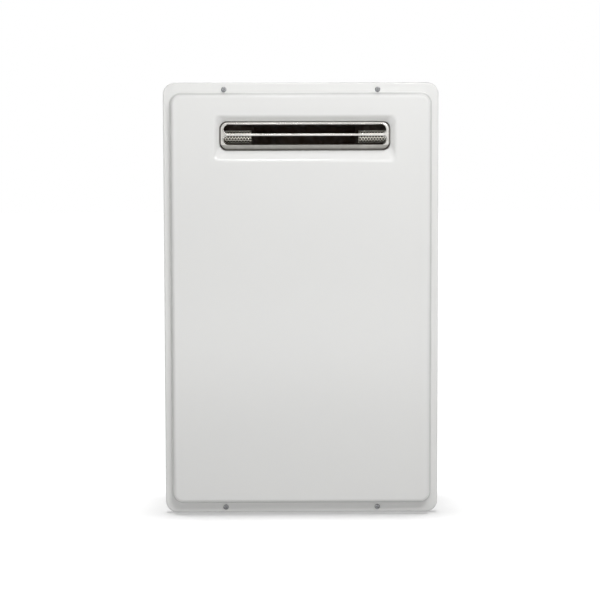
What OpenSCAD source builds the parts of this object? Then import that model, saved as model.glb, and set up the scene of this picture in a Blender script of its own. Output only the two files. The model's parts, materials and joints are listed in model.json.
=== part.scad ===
// Outdoor tankless gas water heater, wall hung, with a flush front flue outlet.
// Front faces -Y, the wall is at +Y, +Z is up. Millimetres.

/* [Casing] */
// Overall width across the flange
casing_w = 413; // [400:1:480]
// Overall height across the flange
casing_h = 650; // [640:1:720]
// Overall depth from the wall to the front face
casing_d = 175; // [170:1:200]
// Corner radius of the flange
corner_r = 18; // [12:1:24]
// Thickness of the casing sheet
sheet_t = 1; // [0.7:0.1:1.4]
// Inset of the case side walls from the flange edge
side_inset = 12; // [10:1:15]
// Inset of the case top and bottom walls from the flange edge
end_inset = 20; // [19:1:24]
// Corner radius of the case walls
case_r = 14; // [8:1:20]
// Radius of the bend from the case walls to its back
back_bend_r = 4; // [2:0.5:8]

/* [Front cover] */
// Height of the raised pan above the flange
pan_rise = 18; // [14:1:22]
// Flat flange at the sides
flange_side = 10; // [8:0.5:12]
// Flat flange at the top and bottom
flange_end = 15; // [14:0.5:18]
// Run of the sloped pan wall
wall_run = 4.5; // [2:0.5:6]
// Corner radius of the pan at its foot
pan_r = 17; // [14:1:24]
// Radius of the rounded pan edge
crown_r = 5; // [3:0.5:8]
// Depth of the lip that turns back over the case flange
lip_d = 9; // [7:0.5:12]
// Bend radius of that lip
lip_r = 2.5; // [1.5:0.5:4]
// Thickness of the cover gasket
gasket_t = 3; // [2:0.5:4]
// Distance between the cover screws across the width
screw_pitch = 230; // [180:1:260]
// Distance of the top screws from the top edge
screw_top = 10.5; // [9.5:0.5:11]
// Distance of the bottom screws from the bottom edge
screw_bottom = 8.5; // [8:0.5:10]

/* [Flue outlet] */
// Offset of the flue from the centre line
flue_x = 6; // [0:1:10]
// Drop of the flue centre below the top edge
flue_drop = 79.8; // [78:0.1:95]
// Width of the flue terminal
flue_w = 254; // [240:1:264]
// Height of the flue terminal
flue_h = 42.2; // [41:0.1:50]
// Corner radius of the terminal
flue_r = 11; // [9:0.5:14]
// Setback of the terminal behind the front face
flue_setback = 2; // [1:0.5:4]
// Radius of the terminal's rounded front edge
bezel_r = 4; // [2:0.5:4.5]
// Thickness of the stainless sheet
flue_t = 1.2; // [0.8:0.1:1.6]
// Width of each outlet slot
slot_w = 241.5; // [200:0.5:244]
// Height of each outlet slot
slot_h = 12.8; // [10:0.2:14]
// Height of the bar between the slots
slot_bar = 3.8; // [3:0.2:6]
// Rise of the slots above the terminal's centre
slot_rise = 1.4; // [0:0.2:2]
// Clear gap round the terminal in the cover
flue_gap = 0.8; // [0.5:0.1:1.5]
// Width of the flue pocket at the face
pocket_w = 271; // [266:1:284]
// Height of the flue pocket at the face
pocket_h = 66.8; // [64:0.2:74]
// Drop of the pocket centre below the flue centre
pocket_drop = 3.8; // [2:0.2:5]
// Depth of the flue pocket
pocket_d = 10; // [8:0.5:12]
// Radius of the perforated end guards
guard_r = 9.5; // [8:0.5:10]
// Length of each end guard
guard_l = 42.5; // [30:0.5:48]

/* [Heat exchanger stack] */
// Width of the combustion stack
stack_w = 220; // [210:1:224]
// Depth of the combustion stack
stack_d = 108; // [104:1:112]
// Depth of the rails that hang the stack
rail_d = 18.5; // [17:0.5:22]
// Height of the copper shell
shell_h = 200; // [190:1:210]
// Height of the burner box
burner_h = 80; // [74:1:86]
// Height of the air plenum
plenum_h = 20; // [16:1:26]
// Sheet thickness of the stack
stack_t = 1.2; // [0.8:0.1:1.6]
// Reach of the stack's joint flanges
joint_w = 10; // [9:0.5:11]
// Outer radius of the water tubes in the stack
tube_r = 7; // [6:0.5:7.5]
// Wall of the water tubes
tube_wall = 1; // [0.6:0.1:1.4]
// Bend radius of the pipes
bend_r = 11; // [9:0.5:11.5]
// Pitch of the finned tubes
fin_tube_pitch = 15.2; // [14.5:0.1:15.4]
// Number of fins
fin_count = 22; // [12:1:30]
// Number of burner blades
blade_count = 11; // [7:1:12]
// Thickness of a burner blade
blade_t = 9; // [6:0.5:10]

/* [Fan] */
// Radius of the fan impeller
impeller_r = 42; // [36:1:44]
// Width of the impeller
impeller_w = 34; // [26:1:38]
// Drop of the fan axis below the plenum
fan_drop = 75; // [72:1:85]
// Depth of the fan housing
fan_d = 50; // [46:1:54]
// Radius of the fan motor
motor_r = 33; // [26:1:36]
// Length of the fan motor
motor_l = 32; // [24:1:34]
// Radius of the fan shaft
shaft_r = 3; // [2.5:0.5:4]
// Number of impeller blades
vane_count = 24; // [12:1:30]

/* [Gas train] */
// Clear space between the stack's flange and the gas riser
riser_clear = 2; // [1:0.5:6]
// Width of the gas valve
valve_w = 48; // [42:1:52]
// Depth of the gas valve
valve_d = 60; // [50:1:64]
// Height of the gas valve
valve_h = 70; // [64:1:80]
// Radius of the solenoid coils
coil_r = 16; // [13:0.5:16.5]
// Length of the solenoid coils
coil_l = 38; // [34:1:42]
// Stroke of the gas valve plungers
plunger_stroke = 4; // [2:0.5:6]

/* [Water train] */
// Clear space between the fan and the water control valve
cold_clear = 4; // [2:0.5:8]
// Distance of the hot outlet from the case's side wall
hot_wall = 37; // [34:1:44]
// Distance of the pipe connections from the case back
conn_back = 64; // [58:1:70]
// Radius of the connection threads
thread_r = 13.2; // [10.5:0.1:14]
// Height of the fittings above the case floor
fitting_h = 39; // [36:1:46]
// Distance from a fitting to its drain plug
plug_pitch = 38; // [37:1:42]
// Radius of the drain plug stem
plug_r = 8; // [7:0.5:9]
// Height of the flow sensor
sensor_h = 40; // [34:1:46]
// Height of the water control valve
servo_h = 40; // [36:1:46]

/* [Controls] */
// Clear space between the gas riser and the control tray
tray_clear = 3.5; // [2:0.5:6]
// Height of the control tray
tray_h = 200; // [160:1:210]
// Depth of the control tray
tray_d = 34; // [28:1:36]
// Drop of the tray's lower edge below the burner box
tray_drop = 5; // [0:1:20]

/* [Wall mounting] */
// Thickness of the wall brackets
bracket_t = 2; // [1.5:0.5:3]
// Width of the wall brackets
bracket_w = 300; // [260:1:320]
// Distance between the wall holes across the width
wall_pitch = 220; // [180:1:240]
// Radius of the wall screw holes
wall_hole_r = 3.5; // [2.5:0.25:4]

/* [Fasteners] */
// Shank radius of the screws
shank_r = 2; // [1.5:0.25:2]
// Head radius of the screws
head_r = 4; // [3:0.25:4.25]
// Head height of the screws
head_h = 2.6; // [2:0.2:3]

/* [Hidden] */
$fn = 64;

// Clearances
hole_gap = 0.3;    // round a screw shank
run_gap = 0.05;    // round a turning or sliding shaft
seam_t = 0.12;     // between two panels of the case
seat_gap = 0.25;   // between curved pieces that only lie together
lip_gap = 0.6;     // between the case flange and the cover lip
cut = 1;           // how far a cutter runs past a face
arc_steps = 6;     // facets in a bent edge

// Levels through the depth
y_front = -casing_d / 2;
y_wall = casing_d / 2;
y_case_back = y_wall - bracket_t;
y_in_back = y_case_back - sheet_t;
y_flange = y_front + pan_rise;
y_gasket = y_flange + sheet_t;
y_case_flange = y_gasket + gasket_t;
y_conn = y_in_back - conn_back;

// Levels up the height, and the inner side walls
z_mid = casing_h / 2;
z_floor = end_inset + sheet_t;
in_x = casing_w / 2 - side_inset - sheet_t;
case_w = casing_w - 2 * side_inset;
case_h = casing_h - 2 * end_inset;
pan_w = casing_w - 2 * flange_side;
pan_h = casing_h - 2 * flange_end;
cover_screw_at = [for (s = [-1, 1], z = [casing_h - screw_top, screw_bottom]) [s * screw_pitch / 2, z]];

// Flue terminal and pocket
flue_z = casing_h - flue_drop;
y_bezel = y_front + flue_setback;
pocket_z = flue_z - pocket_drop;
pocket_r = 8;
floor_w = flue_w + 2 * flue_gap + 1;
floor_h = flue_h + 2 * flue_gap + 1;
outlet_w = slot_w - 2 * guard_l - 3;
outlet_h = 2 * slot_h + slot_bar;
slot_z = [for (s = [-1, 1]) flue_z + slot_rise + s * (slot_h + slot_bar) / 2];
guard_wall = 0.8;
guard_x1 = flue_w / 2 - bezel_r - seat_gap;
guard_y = y_bezel + flue_t + seat_gap + guard_r;
guard_z = flue_z - 1.5;
guard_hole_r = 1.3;
guard_pitch = 3.6;
flue_flange = 9;

// Combustion stack, hung from the flue
stack_x0 = flue_x - stack_w / 2;
stack_x1 = flue_x + stack_w / 2;
stack_y1 = y_in_back - rail_d;
stack_y0 = stack_y1 - stack_d;
stack_y = (stack_y0 + stack_y1) / 2;
hood_below = 34.5;
hood_above = 42;
hood_z0 = flue_z - hood_below;
hood_z1 = flue_z + hood_above;
hood_slant = [45, 38];
shell_z0 = hood_z0 - shell_h;
burner_z0 = shell_z0 - burner_h;
plate_t = 1.2;
plenum_z1 = burner_z0 - plate_t;
plenum_z0 = plenum_z1 - plenum_h;
joint_t = 1.5;
joint_screw_x = [for (i = [-1.5:1:1.5]) flue_x + i * (stack_w - 30) / 3];
joint_screw_y = stack_y0 - joint_w / 2 - 0.5;
rail_h = 20;
rail_l = 160;
rail_t = 1.5;

// Finned tubes and the coil round the combustion chamber
tube_count = 6;
core_z = hood_z0 - 45;
fin_h = 66;
fin_t = 0.6;
tube_stub = 6;
tube_y = [for (i = [0:tube_count - 1]) stack_y + (i - (tube_count - 1) / 2) * fin_tube_pitch];
shell_r = bend_r - tube_r - seat_gap;
loop_y0 = stack_y0 - tube_r - seat_gap;
loop_y1 = stack_y1 + tube_r + seat_gap;
loop_x1 = stack_x1 + tube_r + seat_gap;
loop_x0 = stack_x0 + 3 * tube_r;
riser_x = stack_x0 - joint_w - tube_r - 2;
loop_z = [shell_z0 + 30, shell_z0 + 70];
union_z = shell_z0 - 34;
union_h = 16;
union_r = 12;

// Burner
blade_ledge = 8;
blade_pitch = (stack_w - 2 * stack_t) / blade_count;
blade_x = [for (i = [0:blade_count - 1]) flue_x + (i - (blade_count - 1) / 2) * blade_pitch];
riser_r = 8;
gas_x = stack_x1 + joint_w + riser_r + riser_clear;
nozzle_r = 3;
nozzle_l = 8;
manifold_s = 14;
manifold_y = stack_y0 - nozzle_l - manifold_s / 2 - 1;
manifold_z = burner_z0 + 20;
manifold_x1 = stack_x1 - 4;
probe_z = shell_z0 - 16;
spark_x = flue_x + 45;
flame_x = flue_x + 70;
window_x = flue_x - 45;
ceramic_r = 4.5;
probe_l = [14, 20];
probe_in = 18;
probe_collar = [3, 4];
probe_wire_r = [1.5, 1.2];
probe_reach = [34, 48];
blade_h = probe_z - ceramic_r - 1.5 - burner_z0 - blade_ledge;
window_r = 9;

// Fan
fan_x = flue_x - 10;
fan_z = plenum_z0 - fan_drop;
fan_y1 = stack_y + fan_d / 2;
fan_y0 = stack_y - fan_d / 2;
fan_t = 1.5;
scroll_r0 = impeller_r + 6;
scroll_growth = 17;
tongue_deg = 60;
duct_x0 = scroll_r0 * cos(tongue_deg);
duct_x1 = scroll_r0 + scroll_growth;
servo_s = 34;
cold_x = fan_x - scroll_r0 - scroll_growth / 2 - fan_t - servo_s / 2 - cold_clear;
hot_x = hot_wall - in_x;
motor_y1 = fan_y0 - fan_t;
impeller_y0 = fan_y0 + 5;

// Gas train
thread_z0 = 2;
neck_r = thread_r + 1;
neck_z0 = end_inset - 2;
fitting_top = z_floor + fitting_h;
fitting_flange_t = 3;
fitting_flange_w = 42;
fitting_flange_r = 10;
fitting_margin = 19;
fitting_wall = 4;
nipple_flange = [50, 38];
nipple_screw = [19, 13];
fitting_screw_x = 16;
nipple_rise = 24;
nipple_top = z_floor + nipple_rise;
valve_z1 = nipple_top + valve_h;
valve_y0 = y_conn - valve_d / 2;
coil_z = [nipple_top + valve_h / 2 - coil_r - 0.5, nipple_top + valve_h / 2 + coil_r + 0.5];
plunger_r = 9;
plunger_l = 16;
plunger_stem_r = 5;
gas_bore_r = 7;
riser_turn_z = valve_z1 + 42;

// Water train
port_r = plug_r + fitting_wall;
port_drop = 4;
port_z0 = end_inset - port_drop;
port_rise = 34;
port_top = z_floor + port_rise;
plug_y = y_conn - plug_pitch;
knob_r = 11;
knob_h = 12;
stem_rise = 12;
stem_top = z_floor + stem_rise;
screen_h = 14;
sensor_r = 16;
sensor_bore = 12;
sensor_top = fitting_top + sensor_h;
servo_top = sensor_top + servo_h;
servo_z = sensor_top + servo_h / 2;
servo_plug_r = 9;
servo_stem_r = 4;
servo_motor_d = 30;
axle_r = 1.5;
cold_turn_z = servo_top + 32;
hot_turn_z = fitting_top + 40;

// Controls
tray_w = in_x - gas_x - riser_r - tray_clear;
tray_x0 = in_x - tray_w;
tray_z0 = burner_z0 - tray_drop;
tray_y0 = y_case_flange + 6;
tray_y1 = tray_y0 + tray_d;
tray_wall = 2;
side_hole = 90;
board_t = 1.6;
board_y1 = tray_y1 - tray_wall - 5;
board_y0 = board_y1 - board_t;
igniter = [in_x - gas_x - valve_w / 2 - 2, 40, 44];
igniter_drop = 53;
igniter_z0 = tray_z0 - igniter_drop - igniter[2];
igniter_y0 = y_conn - igniter[1] / 2;
limit_x = flue_x + 62;
limit_z = core_z - 42;
thermistor_z = z_mid;
lead_r = 1.8;
front_y = manifold_y - riser_r - 8;
harness_r = 2.6;

// Wall brackets
bracket_lap = 42;
bracket_edge = 2;
upper_hole_z = casing_h - (end_inset + bracket_edge) / 2;
lower_hole_z = (end_inset + 1) / 2;
rivet_x = [for (i = [-1.5:1:1.5]) i * bracket_w / 4];
rivet_rise = 22;
rivet_r = 2;

// Cable glands and air slots in the case floor
gland_x = [72, 98];
gland_hole = [4, 3];
gland_r = [9, 7];
slot_air = [5, 44];
slot_air_x = [for (i = [-4:1:4]) fan_x + i * 9];

// Helpers

module along_x(x0, x1) translate([x0, 0, 0]) rotate([90, 0, 90]) linear_extrude(x1 - x0) children();
module along_y(y0, y1) translate([0, y1, 0]) rotate([90, 0, 0]) linear_extrude(y1 - y0) children();
module along_z(z0, z1) translate([0, 0, z0]) linear_extrude(z1 - z0) children();

module rounded_rect(w, h, r) {
  square([w - 2 * r, h], center = true);
  square([w, h - 2 * r], center = true);
  for (x = [-1, 1], y = [-1, 1]) translate([x * (w / 2 - r), y * (h / 2 - r)]) circle(r);
}

module stadium(l, w) {
  square([l - w, w], center = true);
  for (x = [-1, 1]) translate([x * (l - w) / 2, 0]) circle(w / 2);
}

module ring(r, wall) difference() {
  circle(r);
  circle(r - wall);
}

// A rounded rectangular block whose edge section is a profile, drawn from the corner centre outwards.
module dish(w, h, r, profile) {
  top = max([for (p = profile) p[1]]);
  low = min([for (p = profile) p[1]]);
  inner = [w / 2 - r, h / 2 - r];
  translate([0, 0, low]) linear_extrude(top - low) square(2 * inner, center = true);
  for (q = [0:3]) {
    c = [(q == 0 || q == 3 ? 1 : -1) * inner[0], (q < 2 ? 1 : -1) * inner[1]];
    translate([c[0], c[1], 0]) rotate(q * 90) rotate_extrude(angle = 90) polygon(profile);
  }
  for (s = [0, 180]) rotate(s) {
    translate([inner[0], inner[1], 0]) rotate([90, 0, 0]) linear_extrude(2 * inner[1]) polygon(profile);
    translate([-inner[0], inner[1], 0]) rotate([90, 0, 90]) linear_extrude(2 * inner[0]) polygon(profile);
  }
}

// Edge section of the raised pan, thinned by o
function pan_section(o, base) =
  let (len = norm([pan_rise, wall_run]), foot = pan_r - o * len / pan_rise, rise = pan_rise - o,
       cr = crown_r - o, lean = atan2(wall_run, pan_rise),
       cu = foot - (cr * len + wall_run * (rise - cr)) / pan_rise)
  concat([[0, base], [foot, base], [foot, 0]],
         [for (i = [0:arc_steps]) let (a = lean + (90 - lean) * i / arc_steps)
           [cu + cr * cos(a), rise - cr + cr * sin(a)]],
         [[0, rise]]);

// Edge section of a block of depth d and corner radius r with its far edge rounded by e, thinned by o
function edge_section(r, d, e, o, base) =
  concat([[0, base], [r - o, base]],
         [for (i = [0:arc_steps]) let (a = 90 * i / arc_steps)
           [r - e + (e - o) * cos(a), d - e + (e - o) * sin(a)]],
         [[0, d - o]]);

module facing_front(y) translate([0, y, z_mid]) rotate([90, 0, 0]) children();
module facing_back(y) translate([0, y, z_mid]) rotate([-90, 0, 0]) children();

// A square-cornered pipe run with bends, hollow
function unit(v) = v / norm(v);
module place(x_axis, y_axis, at) {
  z_axis = cross(x_axis, y_axis);
  multmatrix([for (i = [0:2]) [x_axis[i], y_axis[i], z_axis[i], at[i]]]) children();
}
function any_normal(d) = abs(d[2]) > 0.5 ? [1, 0, 0] : [0, 0, 1];
module pipe_run(points, r, wall, bend) {
  last = len(points) - 1;
  for (i = [0:last - 1]) {
    d = unit(points[i + 1] - points[i]);
    a = points[i] + (i > 0 ? bend : 0) * d;
    b = points[i + 1] - (i < last - 1 ? bend : 0) * d;
    n = any_normal(d);
    if (norm(b - a) > 0.001)
      place(n, cross(d, n), a) linear_extrude(norm(b - a)) ring(r, wall);
  }
  for (i = [1:last - 1]) {
    d1 = unit(points[i] - points[i - 1]);
    d2 = unit(points[i + 1] - points[i]);
    place(-d2, d1, points[i] - bend * d1 + bend * d2)
      rotate_extrude(angle = 90) translate([bend, 0]) ring(r, wall);
  }
}

// A bent lead: one tube swept along a smooth curve through its points
function curve_at(p, i, t) =
  let (n = len(p) - 1, a = p[max(i - 1, 0)], b = p[i], c = p[i + 1], d = p[min(i + 2, n)])
  0.5 * (2 * b + (c - a) * t + (2 * a - 5 * b + 4 * c - d) * t * t + (3 * b - a - 3 * c + d) * t * t * t);
function curve(p, steps) =
  concat([for (i = [0:len(p) - 2], k = [0:steps - 1]) curve_at(p, i, k / steps)], [p[len(p) - 1]]);
function flat_to(v, d) = unit(v - (v * d) * d);
module lead(points, r, steps = 5, sides = 8) {
  path = curve(points, steps);
  n = len(path);
  way = [for (i = [0:n - 1]) unit(path[min(i + 1, n - 1)] - path[max(i - 1, 0)])];
  side = [for (i = 0, s = flat_to([0.31, 0.47, 0.83], way[0]); i < n;
               i = i + 1, s = i < n ? flat_to(s, way[i]) : s) s];
  rings = [for (i = [0:n - 1], k = [0:sides - 1]) let (a = 360 * k / sides)
    path[i] + r * (cos(a) * side[i] + sin(a) * cross(way[i], side[i]))];
  walls = [for (i = [0:n - 2], k = [0:sides - 1]) let (a = i * sides + k, b = i * sides + (k + 1) % sides)
    each [[a, b + sides, b], [a, a + sides, b + sides]]];
  ends = [for (k = [1:sides - 2]) each [[0, k, k + 1],
    [(n - 1) * sides, (n - 1) * sides + k + 1, (n - 1) * sides + k]]];
  polyhedron(rings, concat(walls, ends), convexity = 4);
}

// A pan head screw whose head sits on z = 0 and whose shank runs down
module screw(l) difference() {
  union() {
    cylinder(r = head_r, h = head_h * 0.6);
    translate([0, 0, head_h * 0.6]) cylinder(r1 = head_r, r2 = head_r * 0.7, h = head_h * 0.4);
    translate([0, 0, -l]) cylinder(r = shank_r, h = l);
  }
  for (a = [0, 90]) rotate(a) translate([0, 0, head_h]) cube([head_r * 1.1, head_r * 0.28, head_h],
    center = true);
}

// Casing

module rear_case() color("white") difference() {
  union() {
    facing_back(y_case_flange)
      dish(case_w, case_h, case_r, edge_section(case_r, y_case_back - y_case_flange, back_bend_r, 0, 0));
    along_y(y_case_flange, y_case_flange + sheet_t) translate([0, z_mid])
      rounded_rect(casing_w - 2 * (sheet_t + lip_gap), casing_h - 2 * (sheet_t + lip_gap),
                   corner_r - sheet_t - lip_gap);
    swages(y_case_back - sheet_t / 2, y_case_back + bracket_t * 0.7, 0);
  }
  facing_back(y_case_flange)
    dish(case_w, case_h, case_r, edge_section(case_r, y_case_back - y_case_flange, back_bend_r, sheet_t,
      -cut));
  swages(y_in_back - cut, y_case_back + bracket_t * 0.7 - sheet_t, sheet_t);
  for (p = cover_screw_at) along_y(y_case_flange - cut, y_case_flange + sheet_t + cut)
    translate(p) circle(shank_r + hole_gap);
  for (x = rivet_x, z = [casing_h - end_inset - rivet_rise, end_inset + rivet_rise])
    along_y(y_in_back - cut, y_wall) translate([x, z]) circle(rivet_r + run_gap);
  along_z(end_inset - cut, z_floor + cut) floor_holes();
  case_seams();
}

// The case is five welded panels: a fine seam runs round its back and across each corner
module case_seams() {
  along_y(y_in_back - 0.3 - seam_t, y_in_back - 0.3) translate([0, z_mid])
    square([2 * casing_w, 2 * casing_h], center = true);
  for (sx = [-1, 1], sz = [-1, 1]) along_y(y_case_flange - cut, y_in_back)
    translate([sx * (case_w / 2 - case_r), z_mid + sz * (case_h / 2 - case_r)])
      rotate(sx * sz * 45) translate([sx > 0 ? 0 : -4 * corner_r, -seam_t / 2])
        square([4 * corner_r, seam_t]);
}

// Long stiffening ribs pressed into the back of the case
module swages(y0, y1, o) {
  for (z = [-1:1]) along_y(y0, y1)
    translate([0, z_mid + z * casing_h / 5]) stadium(casing_w * 0.62 - 2 * o, 18 - 2 * o);
}

// Everything that passes the case floor, seen from below
module floor_holes() {
  translate([gas_x, y_conn]) circle(neck_r + hole_gap);
  for (x = [cold_x, hot_x]) {
    translate([x, y_conn]) circle(neck_r + hole_gap);
    translate([x, plug_y]) circle(port_r + hole_gap);
  }
  for (p = fitting_screw_at()) translate(p) circle(shank_r + hole_gap);
  for (i = [0, 1]) translate([gland_x[i], y_conn]) circle(gland_r[i] + hole_gap);
  for (x = slot_air_x) translate([x, y_conn - 8]) rotate(90) stadium(slot_air[1], slot_air[0]);
}

module wall_bracket(z0, z1, hole_z, rivet_z) color("gainsboro") difference() {
  along_y(y_case_back, y_wall) translate([0, (z0 + z1) / 2]) rounded_rect(bracket_w, z1 - z0, 6);
  for (s = [-1, 1]) along_y(y_case_back - cut, y_wall + cut)
    translate([s * wall_pitch / 2, hole_z]) circle(wall_hole_r);
  for (x = rivet_x) along_y(y_case_back - cut, y_wall + cut) translate([x, rivet_z])
    circle(rivet_r + run_gap);
  along_y(y_case_back - cut, y_wall + cut) translate([0, hole_z]) stadium(24, 2 * wall_hole_r);
}

module upper_wall_bracket()
  wall_bracket(casing_h - end_inset - bracket_lap, casing_h - bracket_edge, upper_hole_z,
               casing_h - end_inset - rivet_rise);
module lower_wall_bracket()
  wall_bracket(0, end_inset + bracket_lap, lower_hole_z, end_inset + rivet_rise);

module bracket_rivets() color("silver")
  for (x = rivet_x, z = [casing_h - end_inset - rivet_rise, end_inset + rivet_rise]) translate([x, 0, z]) {
    along_y(y_in_back - 1.5, y_in_back) circle(rivet_r * 2);
    along_y(y_in_back, y_wall - 0.2) circle(rivet_r);
  }

module cover_clip_nuts() color("dimgray")
  for (p = cover_screw_at) difference() {
    translate([p[0], 0, p[1]]) {
      along_y(y_case_flange + sheet_t, y_case_flange + sheet_t + 1.5) square([16, 11], center = true);
      along_y(y_case_flange + sheet_t, y_case_flange + sheet_t + 6) circle(shank_r + 2);
    }
    along_y(y_case_flange, y_case_flange + 10) translate(p) circle(shank_r + run_gap);
  }

// Front cover

module pocket_block(w, h, fw, fh, y0, y1) hull() {
  along_y(y0, y0 + 0.01) translate([flue_x, pocket_z]) rounded_rect(w, h, pocket_r, $fn = 32);
  along_y(y1 - 0.01, y1) translate([flue_x, flue_z]) rounded_rect(fw, fh, flue_r, $fn = 32);
}

module front_cover() color("white") difference() {
  union() {
    difference() {
      union() {
        facing_front(y_flange) dish(casing_w, casing_h, corner_r,
          edge_section(corner_r, lip_d, lip_r, 0, 0) - [for (i = [1:arc_steps + 4]) [0, lip_d]]);
        facing_front(y_flange) dish(pan_w, pan_h, pan_r, pan_section(0, -sheet_t));
      }
      facing_front(y_flange) dish(casing_w, casing_h, corner_r,
        edge_section(corner_r, lip_d, lip_r, sheet_t, -cut) - [for (i = [1:arc_steps + 4]) [0, lip_d]]);
      facing_front(y_flange) dish(pan_w, pan_h, pan_r, pan_section(sheet_t, -2 * sheet_t));
    }
    pocket_block(pocket_w, pocket_h, floor_w + 2 * sheet_t, floor_h + 2 * sheet_t,
                 y_front + sheet_t / 2, y_front + pocket_d + sheet_t);
  }
  pocket_block(pocket_w, pocket_h, floor_w, floor_h, y_front - 0.02, y_front + pocket_d);
  along_y(y_front, y_front + pocket_d + cut + sheet_t) translate([flue_x, flue_z])
    rounded_rect(flue_w + 2 * flue_gap, flue_h + 2 * flue_gap, flue_r + flue_gap);
  for (p = cover_screw_at) along_y(y_flange - cut, y_flange + sheet_t + cut)
    translate(p) circle(shank_r + hole_gap);
}

module cover_gasket() color("darkgray") along_y(y_gasket, y_case_flange) difference() {
  translate([0, z_mid]) rounded_rect(casing_w - 5, casing_h - 5, corner_r - 2.5);
  translate([0, z_mid]) rounded_rect(case_w + 1, pan_h - 2, case_r);
  for (p = cover_screw_at) translate(p) circle(shank_r + hole_gap);
}

module cover_screws() color("silver")
  for (p = cover_screw_at) translate([p[0], y_flange, p[1]]) rotate([90, 0, 0])
    screw(sheet_t + gasket_t + 8);

// Flue

module flue_terminal() color("silver") difference() {
  union() {
    difference() {
      translate([flue_x, stack_y0, flue_z]) rotate([90, 0, 0])
        dish(flue_w, flue_h, flue_r, edge_section(flue_r, stack_y0 - y_bezel, bezel_r, 0, 0));
      translate([flue_x, stack_y0 - flue_t, flue_z]) rotate([90, 0, 0])
        dish(flue_w, flue_h, flue_r, edge_section(flue_r, stack_y0 - flue_t - y_bezel, bezel_r, flue_t, 0));
    }
    along_y(stack_y0 - flue_t, stack_y0) translate([flue_x, flue_z])
      square([stack_w - 4, flue_h + 2 * flue_flange], center = true);
  }
  for (z = slot_z) along_y(y_bezel - cut, y_bezel + bezel_r + cut) translate([flue_x, z])
    stadium(slot_w, slot_h);
  along_y(stack_y0 - 2 * flue_t, stack_y0 + cut) translate([flue_x, flue_z])
    square([outlet_w, outlet_h], center = true);
  for (p = flue_screw_at()) along_y(stack_y0 - 2 * flue_t, stack_y0 + cut) translate(p)
    circle(shank_r + hole_gap);
}
function flue_screw_at() = [for (x = [-1, 1], z = [-1, 1])
  [flue_x + x * stack_w * 0.4, flue_z + z * (flue_h + flue_flange + 1) / 2]];

module flue_guards() color("silver") for (s = [-1, 1]) translate([flue_x, guard_y, guard_z])
  mirror([s < 0 ? 1 : 0, 0, 0])
  difference() {
    along_x(guard_x1 - guard_l, guard_x1) ring(guard_r, guard_wall);
    for (i = [0:8], a = [-1:1]) translate([guard_x1 - guard_l + 4 + (i + (a == 0 ? 0 : 0.5)) * guard_pitch,
      0, 0])
      rotate([90 + a * 24, 0, 0]) translate([0, 0, guard_r - 3]) cylinder(r = guard_hole_r, h = 3 + cut);
  }

module exhaust_hood() color("lightsteelblue") difference() {
  union() {
    along_x(stack_x0, stack_x1) hood_outline(0);
    stack_flange(hood_z0, hood_z0 + joint_t);
  }
  along_x(stack_x0 + stack_t, stack_x1 - stack_t) hood_outline(stack_t);
  along_y(stack_y0 - cut, stack_y0 + stack_t + cut) translate([flue_x, flue_z])
    square([outlet_w, outlet_h], center = true);
  for (p = flue_screw_at()) along_y(stack_y0 - cut, stack_y0 + stack_t + cut) translate(p)
    circle(shank_r + hole_gap);
  joint_holes(hood_z0);
}
module hood_outline(o) polygon([
  [stack_y0 + o, hood_z0 - (o > 0 ? cut : 0)], [stack_y0 + o, hood_z1 - o],
  [stack_y1 - hood_slant[0] - o * 0.4, hood_z1 - o], [stack_y1 - o, hood_z1 - hood_slant[1] - o * 0.4],
  [stack_y1 - o, hood_z0 - (o > 0 ? cut : 0)]
]);

// Flange round the stack at one of its joints
module stack_flange(z0, z1) along_z(z0, z1) translate([flue_x, stack_y])
  rounded_rect(stack_w + 2 * joint_w, stack_d + 2 * joint_w, shell_r + joint_w);
module joint_holes(z) for (x = joint_screw_x) along_z(z - joint_t - cut, z + joint_t + plate_t + cut)
  translate([x, joint_screw_y]) circle(shank_r + hole_gap);
module stack_box(o) translate([flue_x, stack_y]) rounded_rect(stack_w - 2 * o, stack_d - 2 * o, shell_r);

module stack_rails() color("silver")
  for (z = [hood_z0 + joint_t + 2, burner_z0 + burner_h / 2 - rail_h / 2])
    along_x(flue_x - rail_l / 2, flue_x + rail_l / 2)
    translate([stack_y1, z]) difference() {
      square([rail_d, rail_h]);
      translate([rail_t, rail_t]) square([rail_d - 2 * rail_t, rail_h]);
    }

// Heat exchanger

module exchanger_shell() color("peru") difference() {
  union() {
    along_z(shell_z0, hood_z0) stack_box(0);
    stack_flange(shell_z0, shell_z0 + joint_t);
    stack_flange(hood_z0 - joint_t, hood_z0);
  }
  along_z(shell_z0 - cut, hood_z0 + cut) stack_box(stack_t);
  for (y = tube_y) along_x(stack_x0 - cut, stack_x1 + cut) translate([y, core_z])
    circle(tube_r - 0.5 + seat_gap);
  joint_holes(shell_z0);
  joint_holes(hood_z0);
}

core_tube_r = tube_r - 0.5;
module exchanger_core() color("chocolate") {
  for (i = [0:fin_count - 1])
    translate([flue_x + (i - (fin_count - 1) / 2) * (stack_w - 24) / (fin_count - 1), 0, 0])
    along_x(-fin_t / 2, fin_t / 2) difference() {
      translate([stack_y, core_z]) square([stack_d - 2 * stack_t - 2, fin_h], center = true);
      for (y = tube_y) translate([y, core_z]) circle(core_tube_r - tube_wall / 2);
    }
  for (y = tube_y) along_x(stack_x0 - tube_stub, stack_x1 + tube_stub) translate([y, core_z])
    ring(core_tube_r, tube_wall);
  for (i = [0:2:4]) return_bend(stack_x1 + tube_stub, i, 1);
  for (i = [1:2:3]) return_bend(stack_x0 - tube_stub, i, -1);
}
module return_bend(x, i, s) translate([x, (tube_y[i] + tube_y[i + 1]) / 2, core_z])
  mirror([s < 0 ? 1 : 0, 0, 0])
  rotate(-90) rotate_extrude(angle = 180) translate([fin_tube_pitch / 2, 0]) ring(core_tube_r, tube_wall);

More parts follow.
